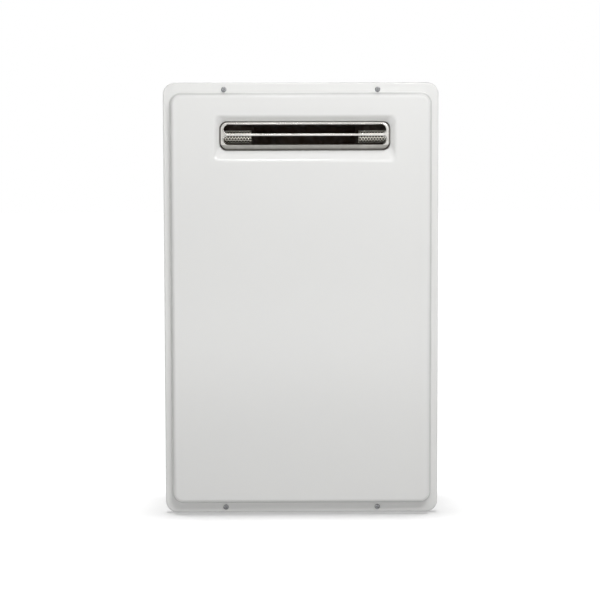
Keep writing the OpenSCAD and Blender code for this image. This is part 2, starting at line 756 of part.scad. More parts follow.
module chamber_coil() color("peru") pipe_run([
  [riser_x, loop_y0, union_z], [riser_x, loop_y0, loop_z[0]], [loop_x1, loop_y0, loop_z[0]],
  [loop_x1, loop_y1, loop_z[0]], [loop_x0, loop_y1, loop_z[0]], [loop_x0, loop_y1, loop_z[1]],
  [loop_x1, loop_y1, loop_z[1]], [loop_x1, loop_y0, loop_z[1]], [riser_x, loop_y0, loop_z[1]],
  [riser_x, loop_y0, core_z], [riser_x, tube_y[0], core_z], [stack_x0 - tube_stub, tube_y[0], core_z]
], tube_r, tube_wall, bend_r);

// Burner

module burner_box() color("silver") difference() {
  union() {
    difference() {
      along_z(burner_z0, shell_z0) stack_box(0);
      along_z(burner_z0 - cut, shell_z0 + cut) stack_box(stack_t);
    }
    difference() {
      union() {
        stack_flange(burner_z0, burner_z0 + joint_t);
        stack_flange(shell_z0 - joint_t, shell_z0);
      }
      along_z(burner_z0 - cut, shell_z0 + cut) stack_box(stack_t);
    }
    for (y = [stack_y0 + stack_t, stack_y1 - stack_t - 18])
      translate([stack_x0 + shell_r, y, burner_z0 + blade_ledge - 2]) cube([stack_w - 2 * shell_r, 18, 2]);
  }
  for (x = blade_x) along_y(stack_y0 - cut, stack_y0 + stack_t + cut) translate([x, manifold_z])
    circle(nozzle_r + 1);
  for (x = [spark_x, flame_x]) along_y(stack_y0 - cut, stack_y0 + stack_t + cut)
    translate([x, probe_z]) circle(ceramic_r + seat_gap);
  along_y(stack_y0 - cut, stack_y0 + stack_t + cut) translate([window_x, probe_z]) circle(window_r - 3);
  joint_holes(burner_z0);
  joint_holes(shell_z0);
}

module burner_blades() color("slategray") for (x = blade_x) difference() {
  along_y(stack_y0 + stack_t, stack_y1 - stack_t - 6) translate([x, burner_z0 + blade_ledge]) {
    translate([-blade_t / 2, 0]) square([blade_t, blade_h - blade_t / 2]);
    translate([0, blade_h - blade_t / 2]) circle(blade_t / 2);
  }
  along_y(stack_y0, stack_y0 + 40) translate([x, manifold_z]) circle(nozzle_r);
}

module air_plate() color("silver") along_z(plenum_z1, burner_z0) difference() {
  translate([flue_x, stack_y]) rounded_rect(stack_w + 2 * joint_w, stack_d + 2 * joint_w, shell_r + joint_w);
  for (x = blade_x, y = [-2:2]) translate([x, stack_y + y * stack_d / 6]) circle(3);
  for (x = joint_screw_x) translate([x, joint_screw_y]) circle(shank_r + hole_gap);
}

module air_plenum() color("silver") difference() {
  union() {
    along_z(plenum_z0, plenum_z1) stack_box(0);
    stack_flange(plenum_z1 - joint_t, plenum_z1);
  }
  along_z(plenum_z0 + stack_t, plenum_z1 + cut) stack_box(stack_t);
  translate([fan_x, 0, 0]) along_z(plenum_z0 - cut, plenum_z0 + stack_t + cut)
    translate([duct_x0, fan_y0 + fan_t]) square([duct_x1 - duct_x0, fan_d - 2 * fan_t]);
  joint_holes(plenum_z1);
}

module gas_manifold() color("lightgray") difference() {
  union() {
    along_x(flue_x - stack_w / 2 + 4, manifold_x1) translate([manifold_y, manifold_z])
      square(manifold_s, center = true);
    for (x = [blade_x[0] + blade_pitch / 2, blade_x[blade_count - 1] - blade_pitch / 2])
      translate([x - 4, manifold_y, manifold_z - 5]) cube([8, stack_y0 - manifold_y, 10]);
    along_x(manifold_x1, manifold_x1 + 3) translate([manifold_y, manifold_z]) circle(riser_r + 2);
  }
  along_x(flue_x - stack_w / 2 + 6, manifold_x1 + 3 + cut) translate([manifold_y, manifold_z])
    circle(manifold_s / 2 - 2);
  for (x = blade_x) along_y(manifold_y, stack_y0 - nozzle_l) translate([x, manifold_z]) circle(nozzle_r - 1);
}

module gas_nozzles() color("goldenrod") for (x = blade_x) translate([x, 0, manifold_z]) difference() {
  union() {
    along_y(manifold_y + manifold_s / 2, manifold_y + manifold_s / 2 + 4) circle(nozzle_r + 1, $fn = 6);
    along_y(manifold_y + manifold_s / 2 + 4, stack_y0) circle(nozzle_r);
  }
  along_y(manifold_y, stack_y0 + cut) circle(0.8);
}

module sight_window() color("lightblue") along_y(stack_y0 - 3, stack_y0) translate([window_x, probe_z])
  circle(window_r);

// A ceramic rod with a bent wire tip over the burners
module probe(x, reach) translate([x, 0, probe_z]) {
  along_y(stack_y0 - probe_l[0], stack_y0 + probe_in) circle(ceramic_r);
  along_y(stack_y0 - probe_collar[1], stack_y0) circle(ceramic_r + probe_collar[0]);
  along_y(stack_y0 - probe_l[1], stack_y0 - probe_l[0]) circle(probe_wire_r[0]);
  along_y(stack_y0 + probe_in, stack_y0 + reach) circle(probe_wire_r[1]);
}
module spark_electrode() color("white") probe(spark_x, probe_reach[0]);
module flame_rod() color("white") probe(flame_x, probe_reach[1]);

// Fan

function scroll_points(o) = concat(
  [for (a = [tongue_deg:10:360])
    let (r = scroll_r0 + o + scroll_growth * (a - tongue_deg) / (360 - tongue_deg))
    r * [cos(a), sin(a)]],
  [[duct_x1 + o, fan_drop], [duct_x0 - o, fan_drop]]);
module scroll(o) translate([fan_x, fan_z]) polygon(scroll_points(o));

module fan_housing() color("gainsboro") difference() {
  union() {
    along_y(fan_y0, fan_y1) scroll(fan_t);
    translate([fan_x + duct_x0 - 8, fan_y0, plenum_z0 - fan_t]) cube([duct_x1 - duct_x0 + 16, fan_d, fan_t]);
  }
  along_y(fan_y0 - cut, fan_y1 - fan_t) scroll(0);
  translate([fan_x + duct_x0, fan_y0 + fan_t, fan_z + scroll_r0])
    cube([duct_x1 - duct_x0, fan_d - 2 * fan_t, fan_drop]);
  along_y(fan_y1 - fan_t - cut, fan_y1 + cut) translate([fan_x, fan_z]) circle(impeller_r * 0.78);
}

module fan_faceplate() color("gainsboro") along_y(fan_y0 - fan_t, fan_y0) difference() {
  scroll(fan_t);
  translate([fan_x, fan_z]) circle(shaft_r + 6);
}

module fan_motor() color("darkslategray") translate([fan_x, motor_y1, fan_z]) rotate([90, 0, 0])
  difference() {
  union() {
    cylinder(r = motor_r, h = 3);
    cylinder(r = motor_r - 5, h = motor_l);
    translate([0, 0, motor_l]) cylinder(r = shaft_r + 5, h = 4);
  }
  translate([0, 0, -cut]) cylinder(r = shaft_r + run_gap, h = motor_l + cut);
}

module fan_shaft() color("silver") along_y(motor_y1 - motor_l + 2, impeller_y0 + impeller_w * 0.6)
  translate([fan_x, fan_z]) circle(shaft_r);

module fan_impeller() color("dimgray") translate([fan_x, 0, fan_z]) difference() {
  union() {
    along_y(impeller_y0, impeller_y0 + 1.5) circle(impeller_r);
    along_y(impeller_y0, impeller_y0 + impeller_w * 0.6) circle(shaft_r + 5);
    along_y(impeller_y0 + impeller_w - 2, impeller_y0 + impeller_w) ring(impeller_r, 8);
    for (i = [0:vane_count - 1]) along_y(impeller_y0 + 1, impeller_y0 + impeller_w - 1)
      rotate(i * 360 / vane_count)
      translate([impeller_r - 4, 0]) intersection() {
        translate([0, 6]) ring(7, 1);
        translate([-3.5, -1.5]) square([7, 5]);
      }
  }
  along_y(impeller_y0 - cut, impeller_y0 + impeller_w + cut) circle(shaft_r + 0.02);
}

// Gas train

function fitting_screw_at() = concat(
  [for (s = [-1, 1]) [gas_x + s * nipple_screw[0], y_conn + s * nipple_screw[1]]],
  [for (x = [cold_x, hot_x], s = [-1, 1]) [x + s * fitting_screw_x, y_conn - plug_pitch / 2]]);

module gas_nipple() color("goldenrod") difference() {
  union() {
    along_z(thread_z0, neck_z0) translate([gas_x, y_conn]) circle(thread_r);
    along_z(neck_z0, nipple_top) translate([gas_x, y_conn]) circle(neck_r);
    along_z(z_floor, z_floor + fitting_flange_t) translate([gas_x, y_conn])
      rounded_rect(nipple_flange[0], nipple_flange[1], fitting_flange_r);
  }
  along_z(thread_z0 - cut, nipple_top + cut) translate([gas_x, y_conn]) circle(thread_r - fitting_wall);
  for (i = [0, 1]) along_z(z_floor - cut, z_floor + fitting_flange_t + cut)
    translate(fitting_screw_at()[i]) circle(shank_r + hole_gap);
}

module gas_valve_body() color("lightgray") difference() {
  translate([gas_x - valve_w / 2, valve_y0, nipple_top]) cube([valve_w, valve_d, valve_h]);
  along_z(nipple_top - cut, valve_z1 + cut) translate([gas_x, y_conn]) circle(gas_bore_r);
  for (z = coil_z) along_y(valve_y0 - cut, y_conn + plunger_l / 2 + run_gap) translate([gas_x, z])
    circle(plunger_r + run_gap);
}

module solenoid_coils() color("darkslategray") for (z = coil_z) translate([gas_x, 0, z]) difference() {
  along_y(valve_y0 - coil_l, valve_y0) circle(coil_r);
  along_y(valve_y0 - coil_l + 5, valve_y0 + cut) circle(plunger_stem_r + run_gap);
}

// Each plunger slides forward into its coil to open the gas way
module plunger(z) color("silver") translate([gas_x, 0, z]) {
  along_y(y_conn - plunger_l / 2, y_conn + plunger_l / 2) circle(plunger_r);
  along_y(valve_y0 - coil_l + 5 + plunger_stroke + 1, y_conn - plunger_l / 2) circle(plunger_stem_r);
}
module safety_plunger() plunger(coil_z[0]);
module modulating_plunger() plunger(coil_z[1]);

module gas_riser() color("goldenrod") pipe_run([
  [gas_x, y_conn, valve_z1], [gas_x, y_conn, riser_turn_z], [gas_x, manifold_y, riser_turn_z],
  [gas_x, manifold_y, manifold_z], [manifold_x1 + 3, manifold_y, manifold_z]
], riser_r, tube_wall, bend_r);

// Water train

// A cast fitting through the case floor, with a drain port beside its thread
module fitting(x) color("darkgoldenrod") difference() {
  union() {
    along_z(thread_z0, neck_z0) translate([x, y_conn]) circle(thread_r);
    along_z(neck_z0, fitting_top) translate([x, y_conn]) circle(neck_r);
    along_z(port_z0, port_top) translate([x, plug_y]) circle(port_r);
    along_z(z_floor, z_floor + fitting_flange_t) translate([x, y_conn - plug_pitch / 2])
      rounded_rect(fitting_flange_w, plug_pitch + 2 * fitting_margin, fitting_flange_r);
    translate([x - 7, plug_y, z_floor]) cube([14, plug_pitch, port_top - z_floor - 8]);
  }
  along_z(thread_z0 - cut, fitting_top + cut) translate([x, y_conn]) circle(thread_r - fitting_wall);
  along_z(port_z0 - cut, port_top - 3) translate([x, plug_y]) circle(plug_r + run_gap);
  along_y(plug_y, y_conn) translate([x, z_floor + 17]) circle(4);
  for (s = [-1, 1]) along_z(z_floor - cut, z_floor + fitting_flange_t + cut)
    translate([x + s * fitting_screw_x, y_conn - plug_pitch / 2]) circle(shank_r + hole_gap);
}
module cold_fitting() fitting(cold_x);
module hot_fitting() fitting(hot_x);

module fitting_screws() color("silver") for (p = fitting_screw_at())
  translate([p[0], p[1], z_floor + fitting_flange_t]) screw(fitting_flange_t + sheet_t + 4);

// A hand-turned plug that closes a drain port from below
module drain_plug(x) color("goldenrod") translate([x, plug_y, 0]) difference() {
  union() {
    along_z(port_z0 - knob_h, port_z0) union() {
      circle(knob_r - 1.5);
      for (a = [0:45:359]) rotate(a) translate([knob_r - 2.5, 0]) circle(2.5);
    }
    along_z(port_z0, stem_top) circle(plug_r);
  }
  along_z(port_z0 - knob_h - cut, port_z0 - knob_h + 3) square([12, 2.4], center = true);
}
module inlet_filter_plug() drain_plug(cold_x);
module hot_drain_plug() drain_plug(hot_x);
module inlet_filter_screen() color("silver") translate([cold_x, plug_y, 0]) difference() {
  along_z(stem_top, stem_top + screen_h) ring(plug_r - 1, 0.8);
  for (a = [0:60:359]) rotate(a) translate([0, -1.2, stem_top + 2]) cube([plug_r, 2.4, screen_h - 4]);
}

module flow_sensor_body() color("dimgray") translate([cold_x, y_conn, 0]) {
  difference() {
    union() {
      along_z(fitting_top, sensor_top) circle(sensor_r);
      translate([-9, -sensor_r - 9, fitting_top + sensor_h / 2 - 9]) cube([18, 14, 18]);
    }
    along_z(fitting_top - cut, sensor_top + cut) circle(sensor_bore);
  }
  along_z(fitting_top + 4, fitting_top + 7) {
    circle(3.5);
    for (a = [0, 60, 120]) rotate(a) square([2 * sensor_bore + 1, 2], center = true);
  }
  along_z(fitting_top + 7, sensor_top - 6) circle(axle_r);
}

module flow_turbine() color("whitesmoke") translate([cold_x, y_conn, fitting_top + 7 + 0.2]) difference() {
  union() {
    cylinder(r = 3.5, h = 16);
    for (a = [0:72:359]) rotate(a) translate([(sensor_bore - 1) / 2 + 1, 0, 8]) rotate([32, 0, 0])
      cube([sensor_bore - 3.2, 1.2, 13], center = true);
  }
  translate([0, 0, -cut]) cylinder(r = axle_r + run_gap, h = 16 + 2 * cut);
}

module servo_valve_body() color("darkgoldenrod") difference() {
  translate([cold_x - servo_s / 2, y_conn - servo_s / 2, sensor_top]) cube([servo_s, servo_s, servo_h]);
  along_z(sensor_top - cut, servo_top + cut) translate([cold_x, y_conn]) circle(6);
  along_y(y_conn - servo_s / 2 - cut, y_conn + servo_s / 2 - 5) translate([cold_x, servo_z])
    circle(servo_plug_r + run_gap);
}

module servo_plug() color("whitesmoke") difference() {
  union() {
    along_y(y_conn - servo_s / 2 + 3, y_conn + servo_s / 2 - 5.2) translate([cold_x, servo_z])
      circle(servo_plug_r);
    along_y(y_conn - servo_s / 2 - 14, y_conn - servo_s / 2 + 3) translate([cold_x, servo_z])
      circle(servo_stem_r);
  }
  along_z(servo_z - servo_plug_r - cut, servo_z + servo_plug_r + cut) translate([cold_x, y_conn]) circle(5);
}

module servo_motor() color("black") difference() {
  along_y(y_conn - servo_s / 2 - servo_motor_d, y_conn - servo_s / 2) translate([cold_x, servo_z])
    rounded_rect(servo_s + 4, servo_h - 2, 4);
  along_y(y_conn - servo_s / 2 - 16, y_conn - servo_s / 2 + cut) translate([cold_x, servo_z])
    circle(servo_stem_r + run_gap);
}

module cold_pipe() color("peru") pipe_run([
  [cold_x, y_conn, servo_top], [cold_x, y_conn, cold_turn_z], [riser_x, y_conn, cold_turn_z],
  [riser_x, loop_y0, cold_turn_z], [riser_x, loop_y0, union_z]
], tube_r, tube_wall, bend_r);

module hot_pipe() color("peru") pipe_run([
  [stack_x0 - tube_stub, tube_y[tube_count - 1], core_z], [hot_x, tube_y[tube_count - 1], core_z],
  [hot_x, tube_y[tube_count - 1], hot_turn_z], [hot_x, y_conn, hot_turn_z], [hot_x, y_conn, fitting_top]
], tube_r, tube_wall, bend_r);

// Union nuts where pipes meet
module union_nut(x, y, z) translate([x, y, 0]) along_z(z - union_h / 2, z + union_h / 2) difference() {
  circle(union_r, $fn = 6);
  circle(tube_r + 0.1);
}
module pipe_unions() color("goldenrod") {
  union_nut(riser_x, loop_y0, union_z);
  union_nut(hot_x, y_conn, fitting_top + union_h / 2);
  union_nut(cold_x, y_conn, servo_top + union_h / 2);
}

// Controls

module control_tray() color("dimgray") difference() {
  translate([tray_x0, tray_y0, tray_z0]) cube([tray_w, tray_d, tray_h]);
  translate([tray_x0 + tray_wall, tray_y0 - cut, tray_z0 + tray_wall])
    cube([tray_w - 2 * tray_wall, tray_d - tray_wall + cut, tray_h - 2 * tray_wall]);
  for (p = lead_exits) translate([tray_x0 + p, tray_y1 - 12, 0])
    along_z(tray_z0 - cut, tray_z0 + tray_wall + cut)
    circle(harness_r + seat_gap);
  along_x(tray_x0 - cut, tray_x0 + tray_wall + cut) translate([tray_y1 - 12, tray_z0 + side_hole])
    circle(lead_r + seat_gap);
}
lead_exits = [for (i = [1:3]) i * tray_w / 4];

module control_board() color("darkgreen") {
  translate([tray_x0 + tray_wall + 1, board_y0, tray_z0 + tray_wall + 8])
    cube([tray_w - 2 * tray_wall - 2, board_t, tray_h - 2 * tray_wall - 16]);
  for (x = [8, tray_w - 8], z = [16, tray_h - 16]) translate([tray_x0 + x, 0, tray_z0 + z])
    along_y(board_y1, tray_y1 - tray_wall) circle(3);
}

module board_parts() color("black") translate([tray_x0, board_y0, tray_z0]) {
  for (i = [0, 1]) translate([tray_w * 0.3, 0, cap_z + i * cap_pitch]) rotate([90, 0, 0])
    cylinder(r = cap_r, h = cap_h);
  for (i = [0:2]) translate([tray_w * 0.55, -relay[1], relay_z + i * cap_pitch])
    cube([tray_w * 0.26, relay[1], relay[2]]);
  translate([tray_w * 0.22, -transformer[1], transformer_z]) cube([tray_w * 0.56, transformer[1],
    transformer[2]]);
  translate([tray_w * 0.3, -chip[1], chip_z]) cube([tray_w * 0.4, chip[1], chip[2]]);
  for (i = [0:3]) translate([tray_w * (0.18 + i * 0.163), -plug_block[1], tray_h - plug_block_drop])
    cube([tray_w * 0.13, plug_block[1], plug_block[2]]);
}
cap_z = 30;
cap_pitch = 22;
cap_r = 6;
cap_h = 14;
relay = [0, 12, 16];
relay_z = 24;
transformer = [0, 16, 30];
transformer_z = 94;
chip = [0, 2.5, 18];
chip_z = 136;
plug_block = [0, 7, 14];
plug_block_drop = 36;

module igniter_box() color("black") difference() {
  translate([in_x - igniter[0], igniter_y0, igniter_z0]) cube(igniter);
  translate([in_x - igniter[0] / 2, y_conn, igniter_z0 + igniter[2] - 4])
    cylinder(r = lead_r + seat_gap, h = 4 + cut);
}

module limit_switch() color("silver") translate([limit_x, 0, limit_z]) {
  along_y(stack_y0 - 1, stack_y0) stadium(28, 10);
  along_y(stack_y0 - 9, stack_y0 - 1) circle(8);
  for (s = [-1, 1]) translate([s * 4 - 0.4, stack_y0 - 17, -3]) cube([0.8, 8, 6]);
}

module outlet_thermistor() color("black") translate([hot_x, tube_y[tube_count - 1], thermistor_z])
  difference() {
  union() {
    translate([0, 0, -6]) cylinder(r = tube_r + 3, h = 12);
    translate([-4, -tube_r - 12, -4]) cube([8, 12, 8]);
  }
  translate([0, 0, -6 - cut]) cylinder(r = tube_r + 0.15, h = 12 + 2 * cut);
}

// Leads run from one terminal to the next inside the case, and end just short of it
lead_end = 0.3;
module ignition_lead() color("orangered") {
  box_exit = [in_x - igniter[0] / 2, y_conn, igniter_z0 + igniter[2]];
  tip = [spark_x, stack_y0 - probe_l[1] - lead_end, probe_z];
  lead([box_exit + [0, 0, -3.5], box_exit + [0, 0, 4], box_exit + [0, 0, 12],
        box_exit + [-26, -30, 16], [gas_x + riser_r + 6, manifold_y + 10, manifold_z - 48],
        [gas_x + riser_r + 4, front_y, manifold_z - 30], [gas_x - 4, front_y - 4, manifold_z - 2],
        [gas_x - 30, front_y - 4, manifold_z + 18], tip + [24, -13, -13], tip + [6, -13, -4],
        tip + [0, -9, 0], tip + [0, -4, 0], tip], lead_r);
}

module wiring_harness() color("dimgray") {
  tray_exit = [for (p = lead_exits) [tray_x0 + p, tray_y1 - 12, tray_z0]];
  coil_end = [for (z = coil_z) [gas_x, valve_y0 - coil_l - lead_end, z]];
  gland_end = [gland_x[0], y_conn, z_floor + 9 + lead_end];
  flame_tip = [flame_x, stack_y0 - probe_l[1] - lead_end, probe_z];
  limit_tip = [limit_x + 4, stack_y0 - 17 - lead_end, limit_z];
  motor_end = [fan_x + 16, motor_y1 - motor_l - lead_end, fan_z - 8];
  servo_end = [cold_x + 6, y_conn - servo_s / 2 - servo_motor_d - lead_end, servo_z - 6];
  sensor_end = [cold_x, y_conn - sensor_r - 9 - lead_end, fitting_top + sensor_h / 2];
  tray_side = [[tray_x0, tray_y1 - 12, tray_z0 + side_hole]];
  way_in = [for (i = [0:2]) [0, 0, [4, -4, -14][i]]];
  lead(concat([for (w = way_in) tray_exit[0] + w],
    [[gas_x + valve_w / 2 - 2, front_y, tray_z0 - 60], coil_end[1] + [6, -12, 18],
     coil_end[1] + [0, -12, 4], coil_end[1] + [0, -9, 0], coil_end[1] + [0, -4, 0], coil_end[1]]),
       harness_r);
  lead(concat([for (w = way_in) tray_exit[1] + w],
    [[gas_x + valve_w / 2 + 10, front_y + 2, tray_z0 - 70], coil_end[0] + [coil_r + 8, -8, 24],
     coil_end[0] + [4, -13, 3], coil_end[0] + [0, -9, 0], coil_end[0] + [0, -4, 0], coil_end[0]]),
       harness_r);
  lead(concat([for (w = way_in) tray_exit[2] + w],
    [[in_x - 14, tray_y1 - 4, tray_z0 - 34], [in_x - 10, igniter_y0 - 12, igniter_z0 + 30],
     [in_x - 9, igniter_y0 - 14, igniter_z0 - 20], [gas_x + 34, y_conn - 46, z_floor + 20],
     [gas_x - 14, y_conn - 44, z_floor + 9], gland_end + [10, -12, 20], gland_end + [0, 0, 16],
     gland_end + [0, 0, 8], gland_end]), harness_r);
  lead([flame_tip, flame_tip + [0, -4, 0], flame_tip + [0, -8, 0], flame_tip + [6, -11, 4],
    flame_tip + [30, -6, 20],
        tray_side[0] + [-16, -14, -20], tray_side[0] + [-8, 0, 0], tray_side[0] + [-4, 0, 0],
        tray_side[0] + [3, 0, 0]], lead_r);
  lead([limit_tip, limit_tip + [0, -3, 0], limit_tip + [1, -7, 0], limit_tip + [14, -10, -10],
        [loop_x1 + 12, loop_y0 - 14, loop_z[1] + 12], tray_side[0] + [-6, -25, 62], tray_side[0] + [10,
          -29, 66],
        [tray_x0 + tray_w * 0.24, board_y0 - 18, tray_z0 + tray_h - 30],
        [tray_x0 + tray_w * 0.24, board_y0 - 12, tray_z0 + tray_h - 30],
        [tray_x0 + tray_w * 0.24, board_y0 - plug_block[1] - lead_end, tray_z0 + tray_h - 30]], lead_r);
  loom_start = [gas_x - 14, y_conn - 44 - 2 * harness_r + 1.1, z_floor + 9];
  loom_y = y_case_flange + 15.5;
  loom_z = z_floor + harness_r + 0.4;
  tee_z = loom_z + harness_r + lead_end;
  lead([loom_start, loom_start + [0, -4, 0], [gas_x - 22, loom_y + 8, z_floor + 7], [gas_x - 50, loom_y,
    loom_z],
        [fan_x + 34, loom_y, loom_z], [fan_x - 30, loom_y, loom_z], [cold_x + 10, loom_y, loom_z],
        [cold_x - 10, loom_y, loom_z]], harness_r, 4);
  lead([motor_end, motor_end + [0, -4, 0], motor_end + [0, -8, -2], [fan_x + 20, loom_y - 6, fan_z - 30],
        [fan_x + 26, loom_y - 3, z_floor + 50], [fan_x + 28, loom_y, z_floor + 20], [fan_x + 28, loom_y,
          tee_z]],
       lead_r, 4);
  lead([servo_end, servo_end + [0, -4, 0], servo_end + [0, -8, -2], [cold_x + 12, loom_y + 10, servo_z - 30],
        [cold_x + 18, loom_y + 2, z_floor + 50], [cold_x + 20, loom_y, z_floor + 20], [cold_x + 20, loom_y,
          tee_z]],
       lead_r, 4);
  lead([sensor_end, sensor_end + [0, -4, 0], sensor_end + [-1, -8, -1], [cold_x - 12, plug_y - 14,
    fitting_top + 6],
        [cold_x - 8, loom_y + 6, z_floor + 34], [cold_x - 5, loom_y, z_floor + 18], [cold_x - 5, loom_y,
          tee_z]],
       lead_r, 4);
}

// Cable glands in the case floor
module gland(i) color("black") translate([gland_x[i], y_conn, 0]) difference() {
  union() {
    along_z(end_inset - 5, end_inset) circle(gland_r[i] + 4, $fn = 6);
    along_z(end_inset - 12, end_inset - 5) circle(gland_r[i] - 0.5);
    along_z(end_inset, z_floor + 4) circle(gland_r[i]);
    along_z(z_floor, z_floor + 4) circle(gland_r[i] + 3, $fn = 6);
    along_z(z_floor + 4, z_floor + 9) circle(gland_r[i] - 2);
  }
  along_z(end_inset - 12 - cut, z_floor + 5) circle(gland_hole[i]);
}
module power_gland() gland(0);
module remote_gland() gland(1);

module stack_screws() color("silver") {
  for (x = joint_screw_x, z = [hood_z0 + joint_t, shell_z0 + joint_t, burner_z0 + joint_t])
    translate([x, joint_screw_y, z]) screw(2 * joint_t + plate_t + 2);
  for (p = flue_screw_at()) translate([p[0], stack_y0 - flue_t, p[1]]) rotate([90, 0, 0])
    screw(flue_t + stack_t + 3);
}

rear_case();
upper_wall_bracket();
lower_wall_bracket();
bracket_rivets();
cover_clip_nuts();
stack_rails();
exhaust_hood();
flue_terminal();
flue_guards();
exchanger_shell();
exchanger_core();
chamber_coil();
burner_box();
burner_blades();
air_plate();
air_plenum();
gas_manifold();
gas_nozzles();
sight_window();
spark_electrode();
flame_rod();
fan_housing();
fan_faceplate();
fan_motor();
gas_valve_body();
solenoid_coils();
gas_riser();
gas_nipple();
cold_fitting();
flow_sensor_body();
servo_valve_body();
servo_motor();
cold_pipe();
hot_pipe();
hot_fitting();
pipe_unions();
control_tray();
control_board();
board_parts();
igniter_box();
limit_switch();
outlet_thermistor();
ignition_lead();
wiring_harness();
power_gland();
remote_gland();
stack_screws();
fitting_screws();
front_cover();
cover_gasket();
cover_screws();
fan_impeller();
fan_shaft();
flow_turbine();
safety_plunger();
modulating_plunger();
servo_plug();
inlet_filter_plug();
inlet_filter_screen();
hot_drain_plug();
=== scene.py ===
import json
import math

import bmesh
import bpy
import numpy as np
from mathutils import Matrix, Vector


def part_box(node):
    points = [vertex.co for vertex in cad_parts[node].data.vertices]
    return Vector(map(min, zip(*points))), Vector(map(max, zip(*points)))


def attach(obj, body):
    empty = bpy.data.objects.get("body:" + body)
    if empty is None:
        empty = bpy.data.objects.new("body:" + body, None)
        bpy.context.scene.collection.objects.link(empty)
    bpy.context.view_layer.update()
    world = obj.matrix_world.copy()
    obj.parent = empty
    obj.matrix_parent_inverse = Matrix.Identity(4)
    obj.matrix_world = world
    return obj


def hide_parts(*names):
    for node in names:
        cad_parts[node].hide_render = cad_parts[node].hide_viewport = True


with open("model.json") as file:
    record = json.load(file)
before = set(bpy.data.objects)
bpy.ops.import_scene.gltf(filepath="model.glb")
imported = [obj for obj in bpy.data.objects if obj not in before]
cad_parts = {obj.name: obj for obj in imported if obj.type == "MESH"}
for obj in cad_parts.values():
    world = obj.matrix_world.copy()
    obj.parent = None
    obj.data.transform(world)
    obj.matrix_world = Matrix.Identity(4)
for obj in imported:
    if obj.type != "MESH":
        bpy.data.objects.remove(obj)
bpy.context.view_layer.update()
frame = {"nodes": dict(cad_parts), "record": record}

mm = 0.001
scene = bpy.context.scene
scene.view_settings.view_transform = "Standard"


# Camera

cameraSet = {
    "place": (-18.5, -2500.0, 492.0),   # in front of the cover, above its middle
    "pitch": 3.957, "yaw": 0.394, "roll": 0.144,   # degrees down, to the right and tilted
    "lens": 96.86, "sensor": 36.0,
}


def makeCamera(v):
    data = bpy.data.cameras.new("frontCamera")
    data.lens = v["lens"]
    data.sensor_width = v["sensor"]
    camera = bpy.data.objects.new("frontCamera", data)
    turn = (Matrix.Rotation(math.radians(-v["yaw"]), 4, "Z")
            @ Matrix.Rotation(math.radians(90 - v["pitch"]), 4, "X")
            @ Matrix.Rotation(math.radians(-v["roll"]), 4, "Z"))
    camera.matrix_world = Matrix.Translation([c * mm for c in v["place"]]) @ turn
    scene.collection.objects.link(camera)
    scene.camera = camera


makeCamera(cameraSet)
print("camera set")


# Node helpers

# a value goes to the node's setting of that name, or else to its input
def addNode(tree, kind, values=None):
    node = tree.nodes.new("ShaderNode" + kind)
    for key, value in (values or {}).items():
        if isinstance(key, str) and hasattr(node, key):
            setattr(node, key, value)
        else:
            node.inputs[key].default_value = value
    return node


def shaderGroup(name, inputs, outputs):
    tree = bpy.data.node_groups.new(name, "ShaderNodeTree")
    for label, value in inputs.items():
        kind = "Float" if isinstance(value, float) else "Vector"
        socket = tree.interface.new_socket(label, in_out="INPUT", socket_type="NodeSocket" + kind)
        socket.default_value = value
    for label, kind in outputs.items():
        tree.interface.new_socket(label, in_out="OUTPUT", socket_type="NodeSocket" + kind)
    return tree, tree.nodes.new("NodeGroupInput"), tree.nodes.new("NodeGroupOutput")


# each link is a node, its output, the next node and that one's input
def chain(tree, *links):
    for source, give, target, take in links:
        tree.links.new(source.outputs[give], target.inputs[take])


# Shared surface effects

origin = (0.0, 0.0, 0.0)
maskAndHeight = {"Mask": "Float", "Height": "Float"}


# long hair lines: noise on coordinates squeezed along the brushing direction
def makeStreakGrain():
    tree, given, out = shaderGroup(
        "streakGrain", {"Vector": origin, "Stretch": (1.0, 1.0, 1.0), "Scale": 400.0}, maskAndHeight)
    squeeze = addNode(tree, "VectorMath", {"operation": "MULTIPLY"})
    fine = addNode(tree, "TexNoise", {"Detail": 4.0, "Roughness": 0.65})
    broad = addNode(tree, "TexNoise", {"Scale": 9.0, "Detail": 2.0})
    both = addNode(tree, "Math", {"operation": "MULTIPLY"})
    wide = addNode(tree, "MapRange", {"From Min": 0.1, "From Max": 0.42})
    chain(tree, (given, "Vector", squeeze, 0), (given, "Stretch", squeeze, 1), (squeeze, 0, fine, "Vector"),
          (given, "Scale", fine, "Scale"), (given, "Vector", broad, "Vector"),
          (fine, "Fac", both, 0), (broad, "Fac", both, 1), (both, 0, wide, "Value"),
          (wide, 0, out, "Mask"), (fine, "Fac", out, "Height"))
    return tree


# baked powder: a soft wave with a finer one on it, and a broad change of shade
def makePowderSkin():
    tree, given, out = shaderGroup("powderSkin", {"Vector": origin, "Scale": 900.0}, maskAndHeight)
    wave = addNode(tree, "TexNoise", {"Detail": 2.0, "Roughness": 0.55})
    fine = addNode(tree, "TexNoise", {"Detail": 1.0})
    finer = addNode(tree, "Math", {"operation": "MULTIPLY", 1: 3.1})      # scale of the finer wave
    add = addNode(tree, "Math", {"operation": "MULTIPLY_ADD", 1: 0.35})   # and its height
    broad = addNode(tree, "TexNoise", {"Scale": 5.0, "Detail": 3.0, "Roughness": 0.6})
    chain(tree, (given, "Vector", wave, "Vector"), (given, "Scale", wave, "Scale"),
          (given, "Vector", fine, "Vector"), (given, "Scale", finer, 0), (finer, 0, fine, "Scale"),
          (fine, "Fac", add, 0), (wave, "Fac", add, 2), (add, 0, out, "Height"),
          (given, "Vector", broad, "Vector"), (broad, "Fac", out, "Mask"))
    return tree


